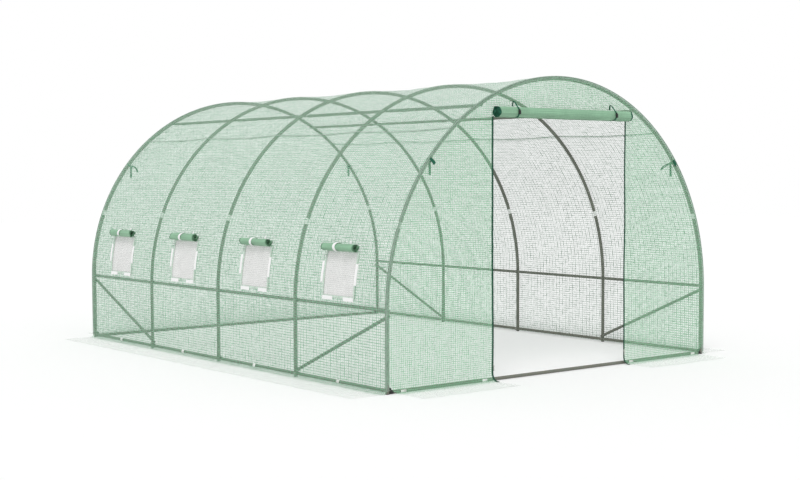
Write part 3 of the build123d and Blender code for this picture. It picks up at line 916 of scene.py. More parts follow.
hem_cloth, tree, shader = new_material("hem cloth", specular=0.3, Roughness=0.45)
mask = use_group(tree, threads, Place=cloth_place(tree), Upright_pitch=0.007,
                 Level_pitch=0.006)["Mask"]
feed(tree, shader, Base_Color=blend(tree, mask, srgb(206, 226, 211), srgb(178, 206, 187)),
     Alpha=remap(tree, mask, 0.0, 1.0, 0.10, 0.30))
finish_piece(join_bands("corner_hems", hems), hem_cloth, "cover_fabric")

# %% [markdown]
# ## Window screens
# Behind each opening is a fine insect net. Its threads are a millimetre and a half apart, far
# finer than the cover's, so from a few steps away it is a grey-white veil with a faint ladder of
# stronger threads. Modelled as wires it would need hundreds of thousands of faces, so it is one
# sheet that uses the cover's weave at a finer pitch.

# %% Insect net
NET_PITCH = 0.0016
insect_net, tree, shader = new_material("insect net", specular=0.2, Roughness=0.6)
place = cloth_place(tree)
weave = use_group(tree, threads, Place=place, Upright_pitch=NET_PITCH, Level_pitch=NET_PITCH,
                  Upright_share=0.5, Level_share=0.5, Softness=0.1, Wander=0.0002,
                  Unevenness=0.25, Speckle=0.05)
ladder = use_group(tree, threads, Place=place, Unevenness=0.35)
shade = times(tree, clouds(tree, place, 14.0, 0.94, 1.04),
              remap(tree, ladder["Mask"], 0.0, 1.0, 1.06, 0.76))
feed(tree, shader, Base_Color=tint(tree, srgb(240, 239, 238), shade),
     Alpha=remap(tree, weave["Mask"], 0.0, 1.0, 0.35, 0.92))

# %% Screens, one in each bay
rows = np.linspace(window_sill - SCREEN_MARGIN, window_head + SCREEN_MARGIN, 26)
for number, middle in enumerate(bay_middles, start=1):
    columns = middle + np.linspace(-1, 1, 27) * (window_half + SCREEN_MARGIN)
    t, y = np.meshgrid(rows, columns, indexing="ij")
    wave = 0.0015 * ripples(y, t, 0.2, 0.3, 60 + number)
    points = on_arch(t / cloth_radius, y, cloth_radius - SCREEN_DEPTH - wall_sag(t, y) + wave)
    screen = sheet_mesh(f"window_screen_{number}", points, np.stack([y, t], axis=-1), turn=True)
    finish_piece(screen, insect_net, "insect_mesh", "window_screens")
print("window screens:", len(bay_middles))

# %% [markdown]
# ## Window bindings and hook tape
# The cut edge of each opening is bound with a strip of the heavier cloth, and short pieces of
# white hook tape wait on it for the flap to come down. They could be marks on the wall's mesh, but
# as bands they follow the sag of the wall and still stand proud of it.

# %% Window trim
BINDING_WIDTH = 0.013
BINDING = {"width": BINDING_WIDTH, "thick": 0.0009}
HOOK_TAPE = {"width": 0.024, "thick": 0.0012}
SIDE_TAPES = (0.153, 0.290)                         # how high they start and end, along the wall
LOW_TAPES = ((-0.164, -0.055), (0.060, 0.167))      # from where to where along the sill


def wall_tape(t, y, above, width, thick):
    """A tape on the left wall, a little above the sagging cloth."""
    t, y = np.broadcast_arrays(np.asarray(t, float), np.asarray(y, float))
    path = on_arch(t / cloth_radius, y, cloth_radius - wall_sag(t, y) + above)
    return band_mesh(path, arch_out(t / cloth_radius), width, thick)


bindings, tapes = [], []
for middle in bay_middles:
    for side, beside in ((-1, 0.011), (1, 0.024)):
        bindings.append(wall_tape(
            np.linspace(window_sill - 0.010, window_head + 0.01, 20),
            middle + side * (window_half + BINDING_WIDTH / 2 - 0.003), above=0.0022, **BINDING))
        tapes.append(wall_tape(
            np.linspace(*SIDE_TAPES, 12) + 0.003 * side,
            middle + side * (window_half + beside), above=0.0032, **HOOK_TAPE))
    bindings.append(wall_tape(
        window_sill - BINDING_WIDTH / 2 + 0.002,
        middle + np.linspace(-1, 1, 20) * (window_half + 0.010), above=0.0023, **BINDING))
    for start, end in LOW_TAPES:
        tapes.append(wall_tape(window_sill - 0.0145, middle + np.linspace(start, end, 9),
                               above=0.0034, **HOOK_TAPE))
window_bindings = join_bands("window_bindings", bindings)
window_tapes = join_bands("window_hook_tapes", tapes)
finish_piece(window_bindings, webbing("binding cloth", srgb(208, 228, 213), rib_pitch=0.003),
             "rolled_fabric")
finish_piece(window_tapes, white_tape, "white_plastic")

# %% [markdown]
# ## Rolled flaps
# The door and each window have a flap of the same cloth, rolled up and tied. A cylinder would be
# simpler, but its ends would be blank. So a roll is one long sheet wound in a spiral: its ends
# show the turns, and it holds as much cloth as its opening needs. The strips along the side edges
# of each flap and the cut rims of its turns take a second colour, painted shade for the shadowed
# ends of the roll: dark green on the door's roll, and the cloth's green made darker on the
# windows'. The turns are never quite even, and the layers together are nearly opaque, a deeper
# green than one layer of the cover.

# %% Rolled cloth materials
rolled_cloth, tree, shader = new_material("rolled cloth", specular=0.35, Roughness=0.46)
place = cloth_place(tree)
mask = use_group(tree, threads, Place=place, Softness=0.14)["Mask"]
stretched = node(tree, "ShaderNodeMapping", Vector=place, Scale=(3.0, 160.0, 1.0))
ribs = clouds(tree, stretched[0], 1.0, 0.8, 1.12)
shade = times(tree, clouds(tree, place, 6.0, 0.9, 1.08), ribs)
green = blend(tree, mask, srgb(137, 182, 149), srgb(155, 198, 166))
feed(tree, shader, Base_Color=tint(tree, green, shade))
roughen(tree, shader, sums(tree, "ADD", ribs, times(tree, mask, 0.15)), strength=0.5,
        distance=0.0016)


def object_place(tree):
    return node(tree, "ShaderNodeTexCoord")["Object"]


# dark green for the ends of the door's roll: painted shade of the wound cloth
shaded_door_roll_end, tree, shader = new_material("door roll ends in painted shade", specular=0.2, Roughness=0.7)
feed(tree, shader, Base_Color=tint(
    tree, srgb(38, 96, 74), clouds(tree, object_place(tree), 90.0, 0.6, 1.3)))
# the cloth's green made darker for the ends of the window rolls: painted shade
pale_edge = webbing("window roll ends in painted shade", srgb(104, 146, 116), rib_pitch=0.004)

# %% Roll helper
# width of the strip at each side edge of a flap that takes the painted shade of the roll's ends
EDGE_STRIP = 0.011
TURN_STEPS = 26


def wound_sheet(name, middle, around, half_length, inner, outer, turns, start, seed, lead, edge,
                cloth):
    """A sheet wound round an axis along around[0], from a start angle, outside turn first.

    around is the axis and the two directions that angles 0 and 90 degrees point in. lead gives
    the points, as pairs in those two directions, from the sewn edge to the roll.
    """
    axis, right, up = (np.array(direction, float) for direction in around)
    draw = np.random.default_rng(seed)
    angle = start + np.linspace(0, turns * math.tau, int(turns * TURN_STEPS))
    radius = np.linspace(outer, inner, len(angle))
    lumps = sum(draw.normal(0, 0.0011) * np.cos(k * angle + draw.uniform(0, math.tau))
                for k in (2, 3, 5))
    radius = radius + lumps * (radius > inner * 1.4) - cloth / 2
    spiral = np.stack([radius * np.cos(angle), radius * np.sin(angle)], axis=1)
    profile = np.concatenate([lead, spiral])
    run = run_along(profile)
    bound = 1 - EDGE_STRIP / half_length
    across = np.concatenate([[-1], np.linspace(-bound, bound, 13), [1]])
    ends = [0.006 * ripples(run, 0 * run, 0.12, 1.0, seed + side)[:, None] for side in (1, 2)]
    shift = np.where(across < 0, *ends) * np.abs(across)
    shift = shift * smooth_step(run, 0.0, 0.1)[:, None] - 0.004
    along = across * half_length + shift * np.sign(across)
    points = (np.array(middle) + along[..., None] * axis
              + profile[:, None, 0:1] * right + profile[:, None, 1:2] * up)
    flat = np.stack(np.broadcast_arrays(along, run[:, None]), axis=-1)
    roll = sheet_mesh(name, points, flat)
    # the strips at both side edges take the second material, painted shade for the ends of the roll
    for material in (rolled_cloth, edge):
        roll.data.materials.append(material)
    strips = len(across) - 1
    for number, face in enumerate(roll.data.polygons):
        face.material_index = int(number % strips in (0, strips - 1))
    if np.dot(np.cross(axis, right), up) < 0:
        roll.data.flip_normals()
    thicken = roll.modifiers.new("cloth thickness", "SOLIDIFY")
    thicken.thickness = cloth
    thicken.offset = 0
    # the cut rims take the second material too: painted shade
    thicken.material_offset_rim = 1
    return roll, (2 * half_length, float(run[-1]))


# %% Window rolls
WINDOW_ROLL = 0.0275        # radius of a roll
rolls_low, rolls_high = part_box("window_rolls")
roll_x, _, roll_z = (float(v) for v in box_middle("window_rolls"))
roll_half = (rolls_high.y - rolls_low.y - bays_long) / 2
tilt = math.atan2(roll_z - spring_height, -roll_x)
outward = (-math.cos(tilt), 0, math.sin(tilt))
upward = (math.sin(tilt), 0, math.cos(tilt))
for number, middle in enumerate(bay_middles, start=1):
    roll, flat = wound_sheet(
        f"window_roll_{number}", (roll_x, middle, roll_z), ((0, 1, 0), outward, upward),
        roll_half, inner=0.012, outer=WINDOW_ROLL, turns=2.7, start=math.pi, seed=80 + number,
        lead=[(-0.0285, 0.017), (-0.0283, 0.010), (-0.0278, 0.005)], edge=pale_edge, cloth=0.0020)
    finish_piece(roll, None, "rolled_fabric", "window_rolls")
print("each window flap is", [round(v, 3) for v in flat], "m")

# %% [markdown]
# ## Bands round the window rolls
# Each roll is held by one band of white hook tape. A ring from the Add menu would do, but it would
# sit dead square. The band is a closed strip on a circle instead, set at a slight slant as hands
# leave it.

# %% Window bands and their tabs
circle = np.linspace(0, math.tau, 40, endpoint=False)
radial = arch_out(circle)
bands = []
for number, middle in enumerate(bay_middles):
    ring = [roll_x, middle + 0.018, roll_z] + radial * (WINDOW_ROLL + 0.0004)
    ring[:, 1] += 0.010 * np.cos(circle + 0.6 * number)
    bands.append(band_mesh(ring, radial, width=0.026, thick=0.0011, closed=True))
    bands.append(wall_tape(cloth_radius * (tilt + 0.0205) + np.linspace(0, 0.022, 4),
                           middle - 0.060, above=0.0018, width=0.020, thick=0.0014))
window_bands = join_bands("window_roll_bands", bands)
finish_piece(window_bands, white_tape, "white_plastic", "window_roll_straps")

# %% Door roll
roll_low, roll_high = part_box("door_roll")
door_roll_radius = (roll_high.z - roll_low.z) / 2
_, door_roll_y, door_roll_z = (float(v) for v in box_middle("door_roll"))
door_roll, flat = wound_sheet(
    "door_flap_roll", (0, door_roll_y, door_roll_z), ((1, 0, 0), (0, 1, 0), (0, 0, 1)),
    (roll_high.x - roll_low.x) / 2, inner=0.004, outer=door_roll_radius, turns=13.75,
    start=-math.pi / 2, seed=97, lead=[
        (-(cloth_end + 0.0015) - door_roll_y, -door_roll_radius + 0.003),
        (0.022, -door_roll_radius + 0.0005), (0.011, -door_roll_radius)],
    edge=shaded_door_roll_end, cloth=0.0021)
finish_piece(door_roll, None, "rolled_fabric", "door_roll")
print("door flap is", [round(v, 3) for v in flat], "m")

# %% [markdown]
# ## Straps round the door roll
# Two narrow straps hang from the header. Each rises a little from where it is sewn, comes forward
# and down across the front of the roll, passes through a black cord lock and goes round
# underneath. A path of straight steps would kink, so a few points set a smooth curve, and the
# strap is a band along it.

# %% Door straps
ties_low, ties_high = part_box("door_straps")
tie_half = (ties_high.x - ties_low.x) / 2 - 0.006
strap_foot = door_top + 0.076


def smooth_path(points, count):
    """Points along a smooth curve near these ones."""
    made = bpy.data.curves.new("path", "CURVE")
    made.dimensions = "3D"
    spline = made.splines.new("NURBS")
    spline.points.add(len(points) - 1)
    for point, place in zip(spline.points, points):
        point.co = (*place, 1)
    spline.order_u = 4
    spline.use_endpoint_u = True
    spline.resolution_u = max(2, count // max(1, len(points) - 3))
    holder = bpy.data.objects.new("path", made)
    mesh = bpy.data.meshes.new_from_object(holder)
    line = np.array([vertex.co[:] for vertex in mesh.vertices])
    bpy.data.objects.remove(holder)
    bpy.data.curves.remove(made)
    bpy.data.meshes.remove(mesh)
    return line


straps = []
for x in (-tie_half, tie_half):
    # how far aside, forward and up each point of the rise from the header lies
    rise = ((0.003, 0.003, 0), (0.003, 0.004, 0.018), (0.002, 0.008, 0.035), (0.001, 0.022, 0.034))
    corners = [(x + aside, -cloth_end - forward, strap_foot + up) for aside, forward, up in rise]
    for turn in (70, 50, 25, 0, -30, -60, -90, -120, -150):
        bend = math.radians(turn)
        reach = (door_roll_radius + 0.0012) * (1.03 if turn > -100 else 1.0)
        corners.append((x - 0.003 * math.cos(bend), door_roll_y - reach * math.cos(bend),
                        door_roll_z + reach * math.sin(bend)))
    line = smooth_path(corners, 60)
    out = (line - [x, door_roll_y, door_roll_z]) * [0, 1, 1]
    mix = smooth_step(np.arange(len(line)) / len(line), 0.08, 0.3)[:, None]
    straps.append(band_mesh(line, np.array([0, -1, 0]) * (1 - mix) + unit(out) * mix,
                            width=0.012, thick=0.0012))
door_ties = join_bands("door_ties", straps)
finish_piece(door_ties, dark_webbing, "green_webbing", "door_straps")

# %% [markdown]
# ## Plastic and zinc
# The cord locks, corner fittings and foot caps are black moulded plastic, and the clips and leg
# joints are white: a fine grain from the mould, slightly scuffed, with soil dust low down. The
# bolts and zip sliders are zinc plated, cloudy in the same way. Each could be wired on its own,
# but they differ only in their values, so one function makes them all.


# %% Plastic and zinc materials
def dusty_surface(name, colour, dusty, specular, scale, low, high, gloss, reach, amount, **values):
    """A clouded colour with soil near the ground. gloss is the roughness at low and at high."""
    made, tree, shader = new_material(name, specular, **values)
    place = object_place(tree)
    cloudy = clouds(tree, place, scale, low, high)
    soil = use_group(tree, dust, Place=place, Reach=reach, Amount=amount)
    feed(tree, shader, Base_Color=blend(tree, soil["Mask"], tint(tree, colour, cloudy), dusty),
         Roughness=remap(tree, cloudy, low, high, *gloss))
    return made, tree, shader, place


def moulded_plastic(name, colour, dusty, amount=0.35):
    made, tree, shader, place = dusty_surface(
        name, colour, dusty, specular=0.45, scale=60.0, low=0.88, high=1.1, gloss=(0.37, 0.57),
        reach=0.15, amount=amount)
    roughen(tree, shader, noise(tree, place, 900.0, 2.0), strength=0.15, distance=0.0002)
    return made


black_plastic = moulded_plastic("black plastic", srgb(14, 17, 16), srgb(58, 58, 54), amount=0.05)
white_plastic = moulded_plastic("white plastic", srgb(246, 249, 246), srgb(190, 186, 172))
zip_plastic = moulded_plastic("zip plastic", srgb(30, 74, 56), srgb(96, 100, 84))
zinc = dusty_surface(
    "zinc plate", srgb(176, 178, 172), srgb(120, 108, 90), specular=0.5, scale=180.0, low=0.75,
    high=1.1, gloss=(0.5, 0.26), reach=0.12, amount=0.5, Metallic=0.85)[0]

# %% [markdown]
# ## Steel
# The hoops and rails are coated tube, a dark olive grey with a soft sheen. The coat is a little
# uneven along each tube, mottled close up, and wears to bare metal in small spots. Painted wear
# would need every tube unwrapped; noise on Object coordinates needs no unwrapping and runs on from
# one tube to the next.

# %% Coated steel
coated_steel, tree, shader = new_material("coated steel", specular=0.5)
place = object_place(tree)
shade = times(tree, clouds(tree, place, 5.0, 0.86, 1.12), clouds(tree, place, 120.0, 0.93, 1.07))
spots = noise(tree, place, 45.0, 5.0)
worn = remap(tree, spots, 0.66, 0.72, 0.0, 1.0)
soil = use_group(tree, dust, Place=place, Reach=0.14, Amount=0.45)
coat = tint(tree, srgb(115, 120, 109), shade)
coat = blend(tree, times(tree, worn, 0.5), coat, srgb(150, 152, 146))
coat = blend(tree, soil["Mask"], coat, srgb(118, 112, 98))
feed(tree, shader, Base_Color=coat, Metallic=remap(tree, worn, 0.0, 1.0, 0.15, 0.8),
     Roughness=remap(tree, shade, 0.85, 1.15, 0.34, 0.52))
roughen(tree, shader, spots, strength=0.2, distance=0.0003)


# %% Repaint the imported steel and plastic
def repaint(material, *nodes):
    """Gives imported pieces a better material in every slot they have."""
    for name in nodes:
        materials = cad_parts[name].data.materials
        if not materials:
            materials.append(material)
        for place in range(len(materials)):
            materials[place] = material
    print("repainted", len(nodes), "packed pieces in", material.name)


side_rails = [f"{kind}_{side}" for kind in ("purlin", "mid_rail", "base_rail")
              for side in ("left", "right")]
hoop_shoulders = [f"hoop_{number}_shoulders" for number in hoop_numbers]
repaint(coated_steel, *hoop_legs, *hoop_shoulders, *hoop_crowns, *side_rails,
        "base_rail_front", "base_rail_back", "braces_front", "braces_back")
repaint(white_plastic, "joint_sleeves")
repaint(black_plastic, "corner_fittings", "foot_caps")

# %% [markdown]
# ## Ribbons on the end hoops
# A dark green ribbon is knotted round each shoulder of the end hoops, to tie the cover down. Each
# has a wrap round the tube, a knot under it, a hanging tail, and a thin loop or a second tail
# beside it. At the door end a short end also comes out in front of the wall. A true knot is slow
# to model and hardly seen at this size, so a short fat turn of ribbon stands for it.

# %% Ribbons
TIE_ANGLE = math.radians(39)
RIBBON_THICK = 0.0009
# hoop, side, then where the loop, the tail and the second tail end, measured from the knot
TIES = (
    (1, -1, (-0.002, 0.090, -0.040), (0.004, 0.004, -0.080), None),
    (1, 1, (-0.062, 0.040, -0.046), (0.004, 0.004, -0.094), None),
    (5, -1, None, (-0.002, -0.006, -0.096), (0.052, -0.022, -0.050)),
    (5, 1, (-0.030, -0.040, -0.052), (0.002, -0.004, -0.090), None))
wrap = np.linspace(0, math.tau, 28, endpoint=False)


def curved_band(points, out_from, out_to, width, count=24):
    """A ribbon along a smooth curve, turning its face from one direction to another."""
    line = smooth_path(points, count)
    share = np.linspace(0, 1, len(line))[:, None]
    out = np.array(out_from, float) * (1 - share) + np.array(out_to, float) * share
    return band_mesh(line, out, width, RIBBON_THICK)


def all_round(first, second, turn):
    """Directions all round, from the first towards the second."""
    return np.cos(turn)[:, None] * first + np.sin(turn)[:, None] * second


def ribbon_tie(number, side, loop, tail, second):
    """The bands of one tied ribbon."""
    y = hoop_places[number - 1]
    inward = 1.0 if y < 0 else -1.0
    across = np.array([0, 1.0, 0])
    out = np.array([side * math.cos(TIE_ANGLE), 0, math.sin(TIE_ANGLE)])
    along = np.array([-side * math.sin(TIE_ANGLE), 0, math.cos(TIE_ANGLE)])
    middle = np.array([0, y, spring_height]) + out * arch_radius
    radial = all_round(out, across, wrap)
    ring = middle + radial * (hoop_radius + 0.0006) + along * (0.004 * np.sin(wrap))[:, None]
    bands = [band_mesh(ring, radial, width=0.016, thick=RIBBON_THICK, closed=True)]
    # the knot is a short fat turn of ribbon
    knot = middle - out * 0.020 + across * inward * 0.006
    radial = all_round(out, along, wrap[::2])
    bands.append(band_mesh(knot + radial * 0.0060, radial, width=0.013, thick=0.0012, closed=True))
    if loop is not None:
        end = np.array(loop)
        sideways = unit(np.cross(end, [0, 0, 1.0])) * 0.012
        path = [knot, knot + end * [0.5, 0.5, 0.1] + sideways, knot + end + sideways,
                knot + end * [1.0, 1.0, 1.1], knot + end - sideways * 0.7,
                knot + end * [0.5, 0.5, 0.4] - sideways, knot]
        bands.append(curved_band(path, -out, out, width=0.008, count=40))
    for end, width in ((tail, 0.015), (second, 0.013)):
        if end is not None:
            end = np.array(end)
            path = [knot, knot + end * [0.4, 0.4, 0.05] + [0, inward * 0.006, 0.004],
                    knot + end * [0.8, 0.8, 0.3], knot + end * [0.95, 0.9, 0.65], knot + end]
            bands.append(curved_band(path, (-0.6, -0.8, 0), (-0.6, -0.8, 0), width))
    if y < 0:
        start = middle - across * 0.0145 + along * 0.004
        end = -out * 0.044 if side < 0 else -along * 0.034 - out * 0.010
        path = [start, start - across * 0.003 + end * 0.05 + along * 0.008,
                start - across * 0.004 + end * 0.5 + along * 0.006, start - across * 0.005 + end]
        bands.append(curved_band(path, -across, -across, width=0.022, count=12))
    return bands


ribbons = join_bands("hoop_ribbons", [band for tie in TIES for band in ribbon_tie(*tie)])
finish_piece(ribbons, dark_webbing, "green_webbing", "hoop_ties")

# %% [markdown]
# ## What repeats: Geometry Nodes
# Bolts, clips, stitches and zip teeth are one small shape many times over. An Array modifier would
# set them in straight rows only, so each is a Geometry Nodes tree that grows the shape on points
# or along lines. A tree has named inputs for its sizes, and ends by making the copies real and
# giving them their material, so the result is a plain mesh.


# %% Geometry Nodes helpers
def repeat_tree(name, sizes):
    tree, given, result = node_group(
        name, {"Geometry": "Geometry", **sizes, "Finish": "Material"}, {"Geometry": "Geometry"},
        "GeometryNodeTree")
    tree.is_modifier = True
    return tree, given, result


def direction(tree, label):
    """A direction kept on each point."""
    return node(tree, "GeometryNodeInputNamedAttribute", data_type="FLOAT_VECTOR",
                Name=label)["Attribute"]


def turned_to(tree, vector, axis, rotation=None, pivot="AUTO"):
    return node(tree, "FunctionNodeAlignRotationToVector", axis=axis, pivot_axis=pivot,
                Vector=vector, Rotation=rotation)["Rotation"]


def copies(tree, given, result, points, shape, rotation):
    """Puts the shape on the points, makes the copies real and gives them their finish."""
    placed = node(tree, "GeometryNodeInstanceOnPoints", Points=points, Instance=shape,
                  Rotation=rotation)
    real = node(tree, "GeometryNodeRealizeInstances", Geometry=placed[0])
    finish = node(tree, "GeometryNodeSetMaterial", Geometry=real[0], Material=given["Finish"])
    feed(tree, result, Geometry=finish[0])


def round_bar(tree, sides, radius, depth, lift):
    """A bar with this many sides, moved along its own axis."""
    bar = node(tree, "GeometryNodeMeshCylinder", Vertices=sides, Radius=radius, Depth=depth)
    spot = node(tree, "ShaderNodeCombineXYZ", Z=lift)
    return node(tree, "GeometryNodeTransform", Geometry=bar["Mesh"], Translation=spot[0])[0]


def grow(name, mesh, tree, finish, **sizes):
    """Runs a tree on a mesh and gives back the result as a plain mesh object."""
    holder = new_object(name + "_source", mesh)
    modifier = holder.modifiers.new("repeat", "NODES")
    modifier.node_group = tree
    wanted = {label.replace("_", " "): float(value) for label, value in sizes.items()}
    wanted["Finish"] = finish
    for item in tree.interface.items_tree:
        if item.in_out == "INPUT" and item.name in wanted:
            modifier[item.identifier] = wanted.pop(item.name)
    assert not wanted, f"{tree.name} has no input {sorted(wanted)}"
    seen_by = bpy.context.evaluated_depsgraph_get()
    grown = bpy.data.meshes.new_from_object(holder.evaluated_get(seen_by))
    bpy.data.objects.remove(holder)
    for slot in reversed(range(len(grown.materials))):
        if grown.materials[slot] is None:
            grown.materials.pop(index=slot)
    print(name, len(grown.vertices), "points", [m.name for m in grown.materials])
    return new_object(name, grown)


def marked_mesh(name, points, edges=(), **directions):
    """A mesh of loose points or edges with a direction or two on each point."""
    mesh = bpy.data.meshes.new(name)
    mesh.from_pydata([tuple(point) for point in points], list(edges), [])
    for label, values in directions.items():
        mark = mesh.attributes.new(label, "FLOAT_VECTOR", "POINT")
        mark.data.foreach_set("vector", np.array(values, float).ravel())
    return mesh


# %% [markdown]
# ## Bolts
# Each rail's flattened end is bolted through the hoop. Outside there is only a low dome under the
# cloth, and inside a washer, a nut and the end of the thread. One bolt could be modelled by hand
# and copied, but a tree keeps its sizes as inputs and turns each copy to face out. Plain bars are
# enough, because the turns of a thread this fine can't be seen.

# %% Bolt tree
WASHER_THICK = 0.0012
bolt_tree, given, result = repeat_tree("bolts", {
    "Dome radius": 0.006, "Dome height": 0.0008, "Thread radius": 0.003, "Grip": 0.0300,
    "Thread end": 0.007, "Nut radius": 0.0062, "Nut height": 0.005, "Washer radius": 0.0072})
points = node(bolt_tree, "GeometryNodeMeshToPoints", Mesh=given["Geometry"])
dome = node(bolt_tree, "GeometryNodeMeshCone", Vertices=16, Radius_Bottom=given["Dome radius"],
            Radius_Top=times(bolt_tree, given["Dome radius"], 0.55), Depth=given["Dome height"])
shank_length = sums(bolt_tree, "ADD", given["Grip"], given["Thread end"])
shank = round_bar(bolt_tree, 10, given["Thread radius"], shank_length,
                  times(bolt_tree, shank_length, -0.5))
washer = round_bar(bolt_tree, 16, given["Washer radius"], WASHER_THICK,
                   sums(bolt_tree, "SUBTRACT", -WASHER_THICK / 2, given["Grip"]))
nut_rise = sums(bolt_tree, "ADD", WASHER_THICK, times(bolt_tree, given["Nut height"], 0.5))
nut = round_bar(bolt_tree, 6, given["Nut radius"], given["Nut height"],
                times(bolt_tree, sums(bolt_tree, "ADD", given["Grip"], nut_rise), -1.0))
bolt = bolt_tree.nodes.new("GeometryNodeJoinGeometry")
for part in (nut, washer, shank, dome["Mesh"]):
    bolt_tree.links.new(part, bolt.inputs[0])
copies(bolt_tree, given, result, points[0], bolt.outputs[0],
       turned_to(bolt_tree, direction(bolt_tree, "facing"), "Z"))

# %% Bolt places: where rails and braces meet the hoops
BRACE_TONGUE = 0.0135       # from a brace's end to its bolt
bolt_seat = arch_outer + 0.0004
places, facings = [], []
for name in ("purlin_left", "mid_rail_left", "mid_rail_right", "purlin_right"):
    rail_x, _, rail_z = box_middle(name)
    angle = math.atan2(rail_z - spring_height, -rail_x)
    for y in hoop_places:
        places.append(on_arch(angle, y, bolt_seat))
        facings.append(arch_out(angle))
base_height = float(box_middle("base_rail_right")[2])
brace_low, brace_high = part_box("braces_front")
for side in (-1, 1):
    spots = [(y, base_height) for y in hoop_places]
    for end in (-1, 1):
        spots += [(-end * hoop_places[0], brace_high.z - BRACE_TONGUE),
                  (-end * hoop_places[1], brace_low.z + BRACE_TONGUE)]
    places += [(side * bolt_seat, y, z) for y, z in spots]
    facings += [(side, 0, 0)] * len(spots)
bolts = grow("frame_bolts", marked_mesh("bolt places", places, facing=facings), bolt_tree, zinc)
finish_piece(bolts, None, "coated_steel")

# %% [markdown]
# ## Clips
# Small white clips snap over the base rails and pin the cloth to them: one in the middle of each
# bay, and four on each end wall. A clip is a stiff strip bent to an arc round the rail. A tube cut
# open would look the same, but an arc with a section carried along it keeps its opening and its
# wall as sizes, so the same tree makes the wider clips at the ends.

# %% Clip tree
clip_tree, given, result = repeat_tree("clips", {
    "Inner radius": 0.0158, "Wall": 0.0028, "Length": 0.030, "Start": -0.9, "Sweep": 1.9})
points = node(clip_tree, "GeometryNodeMeshToPoints", Mesh=given["Geometry"])
arc = node(clip_tree, "GeometryNodeCurveArc", Resolution=14, Start_Angle=given["Start"],
           Sweep_Angle=given["Sweep"], Radius=sums(
               clip_tree, "ADD", given["Inner radius"], times(clip_tree, given["Wall"], 0.5)))
section = node(clip_tree, "GeometryNodeCurvePrimitiveQuadrilateral", Width=given["Wall"],
               Height=given["Length"])
strip = node(clip_tree, "GeometryNodeCurveToMesh", Curve=arc[0], Profile_Curve=section[0],
             Fill_Caps=True)
rail_way = turned_to(clip_tree, direction(clip_tree, "along"), "Z")
copies(clip_tree, given, result, points[0], strip[0],
       turned_to(clip_tree, direction(clip_tree, "facing"), "X", rail_way, "Z"))

# %% Clips on the sides and the ends
CLIP_PLACES = (-1.375, -0.70, 0.70, 1.375)
end_height = float(box_middle("base_rail_front")[2])
on_sides = [(side, y) for side in (-1, 1) for y in bay_middles]
on_ends = [(end, x) for end in (-1, 1) for x in CLIP_PLACES]
side_clips = grow("side_clips", marked_mesh(
    "side clip places", [(side * arch_radius, y, base_height) for side, y in on_sides],
    facing=[(side, 0, 0) for side, _ in on_sides],
    along=[(0, -side, 0) for side, _ in on_sides]), clip_tree, white_plastic)
end_clips = grow("end_clips", marked_mesh(
    "end clip places", [(x, end * hoop_places[-1], end_height) for end, x in on_ends],
    facing=[(0, end, 0) for end, _ in on_ends], along=[(end, 0, 0) for end, _ in on_ends]),
    clip_tree, white_plastic, Inner_radius=0.0192, Start=-0.6, Sweep=1.05, Length=0.042)
for clips in (side_clips, end_clips):
    finish_piece(clips, None, "white_plastic", "cover_clips")

# %% [markdown]
# ## Zips at the doorway
# A heavy zip runs down each side of the doorway, and its lower end curls out with the cloth. Bump
# on the tape could hint at teeth, but the zip is seen against the open doorway, where its outline
# shows. So the tape is a band that follows the free edge of the panel, and real teeth are grown
# along it.

# %% Zip tapes
zip_top = door_top + 0.006
zip_lines, zip_bands = [], []
for line in free_edges.values():
    top = np.array([[np.interp(zip_top, line[:, 2], line[:, axis]) for axis in range(3)]])
    line = line[(line[:, 1] > -cloth_end - 0.062) & (line[:, 2] < zip_top - 0.004)]
    toward_door = 1 if line[0, 0] < 0 else -1
    line = np.concatenate([line, top]) - [0.0045 * toward_door, 0, 0]
    along = unit(np.gradient(line, axis=0))
    out = np.stack([0 * along[:, 0], -along[:, 2], along[:, 1]], axis=-1)
    zip_bands.append(band_mesh(line + out * 0.0008, out, width=0.013, thick=0.0010))
    zip_lines.append((line + out * 0.0024 + [0.0050 * toward_door, 0, 0], out))
zip_tapes = join_bands("zip_tapes", zip_bands)
finish_piece(zip_tapes, webbing("zip tape", srgb(34, 88, 66), rib_pitch=0.0022),
             "green_webbing", "door_zips")


# %% Trees for zip teeth and stitches
def line_mesh(name, lines):
    """Open lines as a mesh of edges, with the way out kept on each point."""
    points, edges, outs = [], [], []
    for line, out in lines:
        start = len(points)
        points += list(line)
        edges += [(start + step, start + step + 1) for step in range(len(line) - 1)]
        outs += list(np.broadcast_to(out, line.shape))
    return marked_mesh(name, points, edges, facing=outs)


def row_tree(name, spacing, across, length, height):
    """Small blocks at a spacing along every line, lying flat and turned to its run."""
    tree, given, result = repeat_tree(name, {
        "Spacing": spacing, "Across": across, "Length": length, "Height": height})
    curve = node(tree, "GeometryNodeMeshToCurve", Mesh=given["Geometry"])
    spaced = node(tree, "GeometryNodeCurveToPoints", mode="LENGTH", Curve=curve[0],
                  Length=given["Spacing"])
    size = node(tree, "ShaderNodeCombineXYZ", X=given["Length"], Y=given["Across"],
                Z=given["Height"])
    cube = node(tree, "GeometryNodeMeshCube", Size=size[0])
    run = turned_to(tree, spaced["Tangent"], "X")
    copies(tree, given, result, spaced["Points"], cube["Mesh"],
           turned_to(tree, direction(tree, "facing"), "Z", run, "X"))
    return tree


# %% Zip teeth, and stitching along the seams and hems
teeth_tree = row_tree("zip teeth", spacing=0.0042, across=0.0062, length=0.0023, height=0.0022)
stitch_tree = row_tree("stitches", spacing=0.0080, across=0.0009, length=0.0048, height=0.0007)
zip_teeth = grow("zip_teeth", line_mesh("zip lines", zip_lines), teeth_tree, zip_plastic)
finish_piece(zip_teeth, None, "green_webbing")

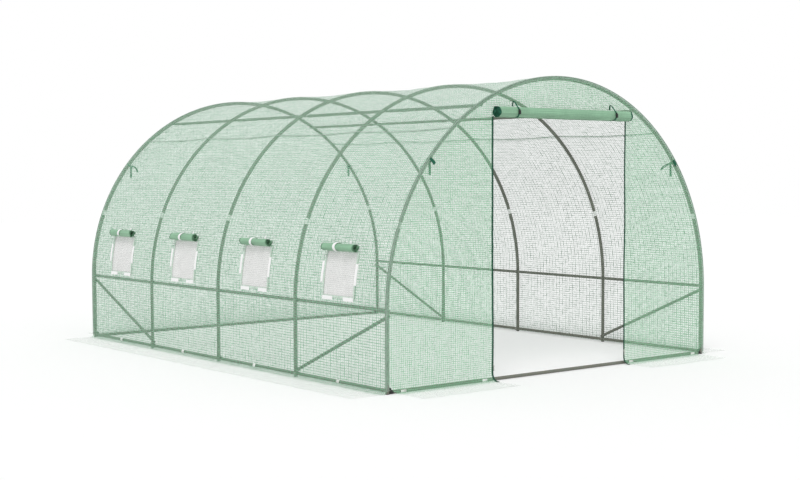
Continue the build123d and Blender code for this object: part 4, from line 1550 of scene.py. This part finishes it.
stitch_lines = []
for angle in seam_angles:
    for drop in (-0.0052, 0.0052):
        beside = angle + drop / cloth_radius
        stitch_lines.append((seam_line(beside, lift=0.0030), arch_out(beside)))
for sign in (-1, 1):
    line = corner_line + [0, sign * (cloth_end - 0.0045), 0] + corner_out * 0.0018
    stitch_lines.append((line, corner_out))
stitches = grow("seam_stitches", line_mesh("stitch lines", stitch_lines), stitch_tree,
                webbing("sewing thread", srgb(116, 142, 124), rib_pitch=0.001))
finish_piece(stitches, None, "green_webbing")

# %% [markdown]
# ## Cord locks and zip sliders
# The last small pieces are moulded or cast blocks with soft edges. Modelling each in full would
# show little more at this size, so each starts as a box of its own size whose edges are then
# rounded by a Bevel modifier.


# %% Rounded blocks
def block(middle, size, lean=0.0):
    """Eight corners and six faces of a box, leaning a little sideways."""
    corners = []
    for corner in ((-1, -1, -1), (1, -1, -1), (1, 1, -1), (-1, 1, -1),
                   (-1, -1, 1), (1, -1, 1), (1, 1, 1), (-1, 1, 1)):
        x, y, z = np.array(corner) * size / 2
        corners.append(np.array(middle) + [x * math.cos(lean) - z * math.sin(lean), y,
                                           x * math.sin(lean) + z * math.cos(lean)])
    faces = [(0, 3, 2, 1), (4, 5, 6, 7), (0, 1, 5, 4), (1, 2, 6, 5), (2, 3, 7, 6), (3, 0, 4, 7)]
    return np.array(corners), faces, np.zeros((8, 2))


def rounded(piece, width):
    bevel = piece.modifiers.new("rounded edges", "BEVEL")
    bevel.width = width
    bevel.segments = 3
    piece.data.shade_smooth()
    return piece


lock_blocks = []
front = door_roll_y - door_roll_radius * 1.03 - 0.0045
for x in (-tie_half, tie_half):
    for aside, up, size in ((0.004, -0.003, (0.017, 0.011, 0.026)),
                            (0.005, 0.014, (0.010, 0.008, 0.009))):
        lock_blocks.append(block((x - aside, front, door_roll_z + up), size, lean=0.06))
cord_locks = rounded(join_bands("door_cord_locks", lock_blocks), width=0.0028)
finish_piece(cord_locks, black_plastic, "black_plastic", "door_toggles")

SLIDER_HEIGHT = 0.09
slider_blocks = []
for line, out in zip_lines:
    foot = line[np.argmin(np.abs(line[:, 2] - SLIDER_HEIGHT))]
    slider_blocks += [block(foot + [0, -0.003, 0], (0.010, 0.006, 0.016)),
                      block(foot + [0, -0.0075, -0.016], (0.006, 0.0016, 0.028), lean=0.08)]
sliders = rounded(join_bands("zip_sliders", slider_blocks), width=0.0009)
finish_piece(sliders, zinc, "black_plastic")
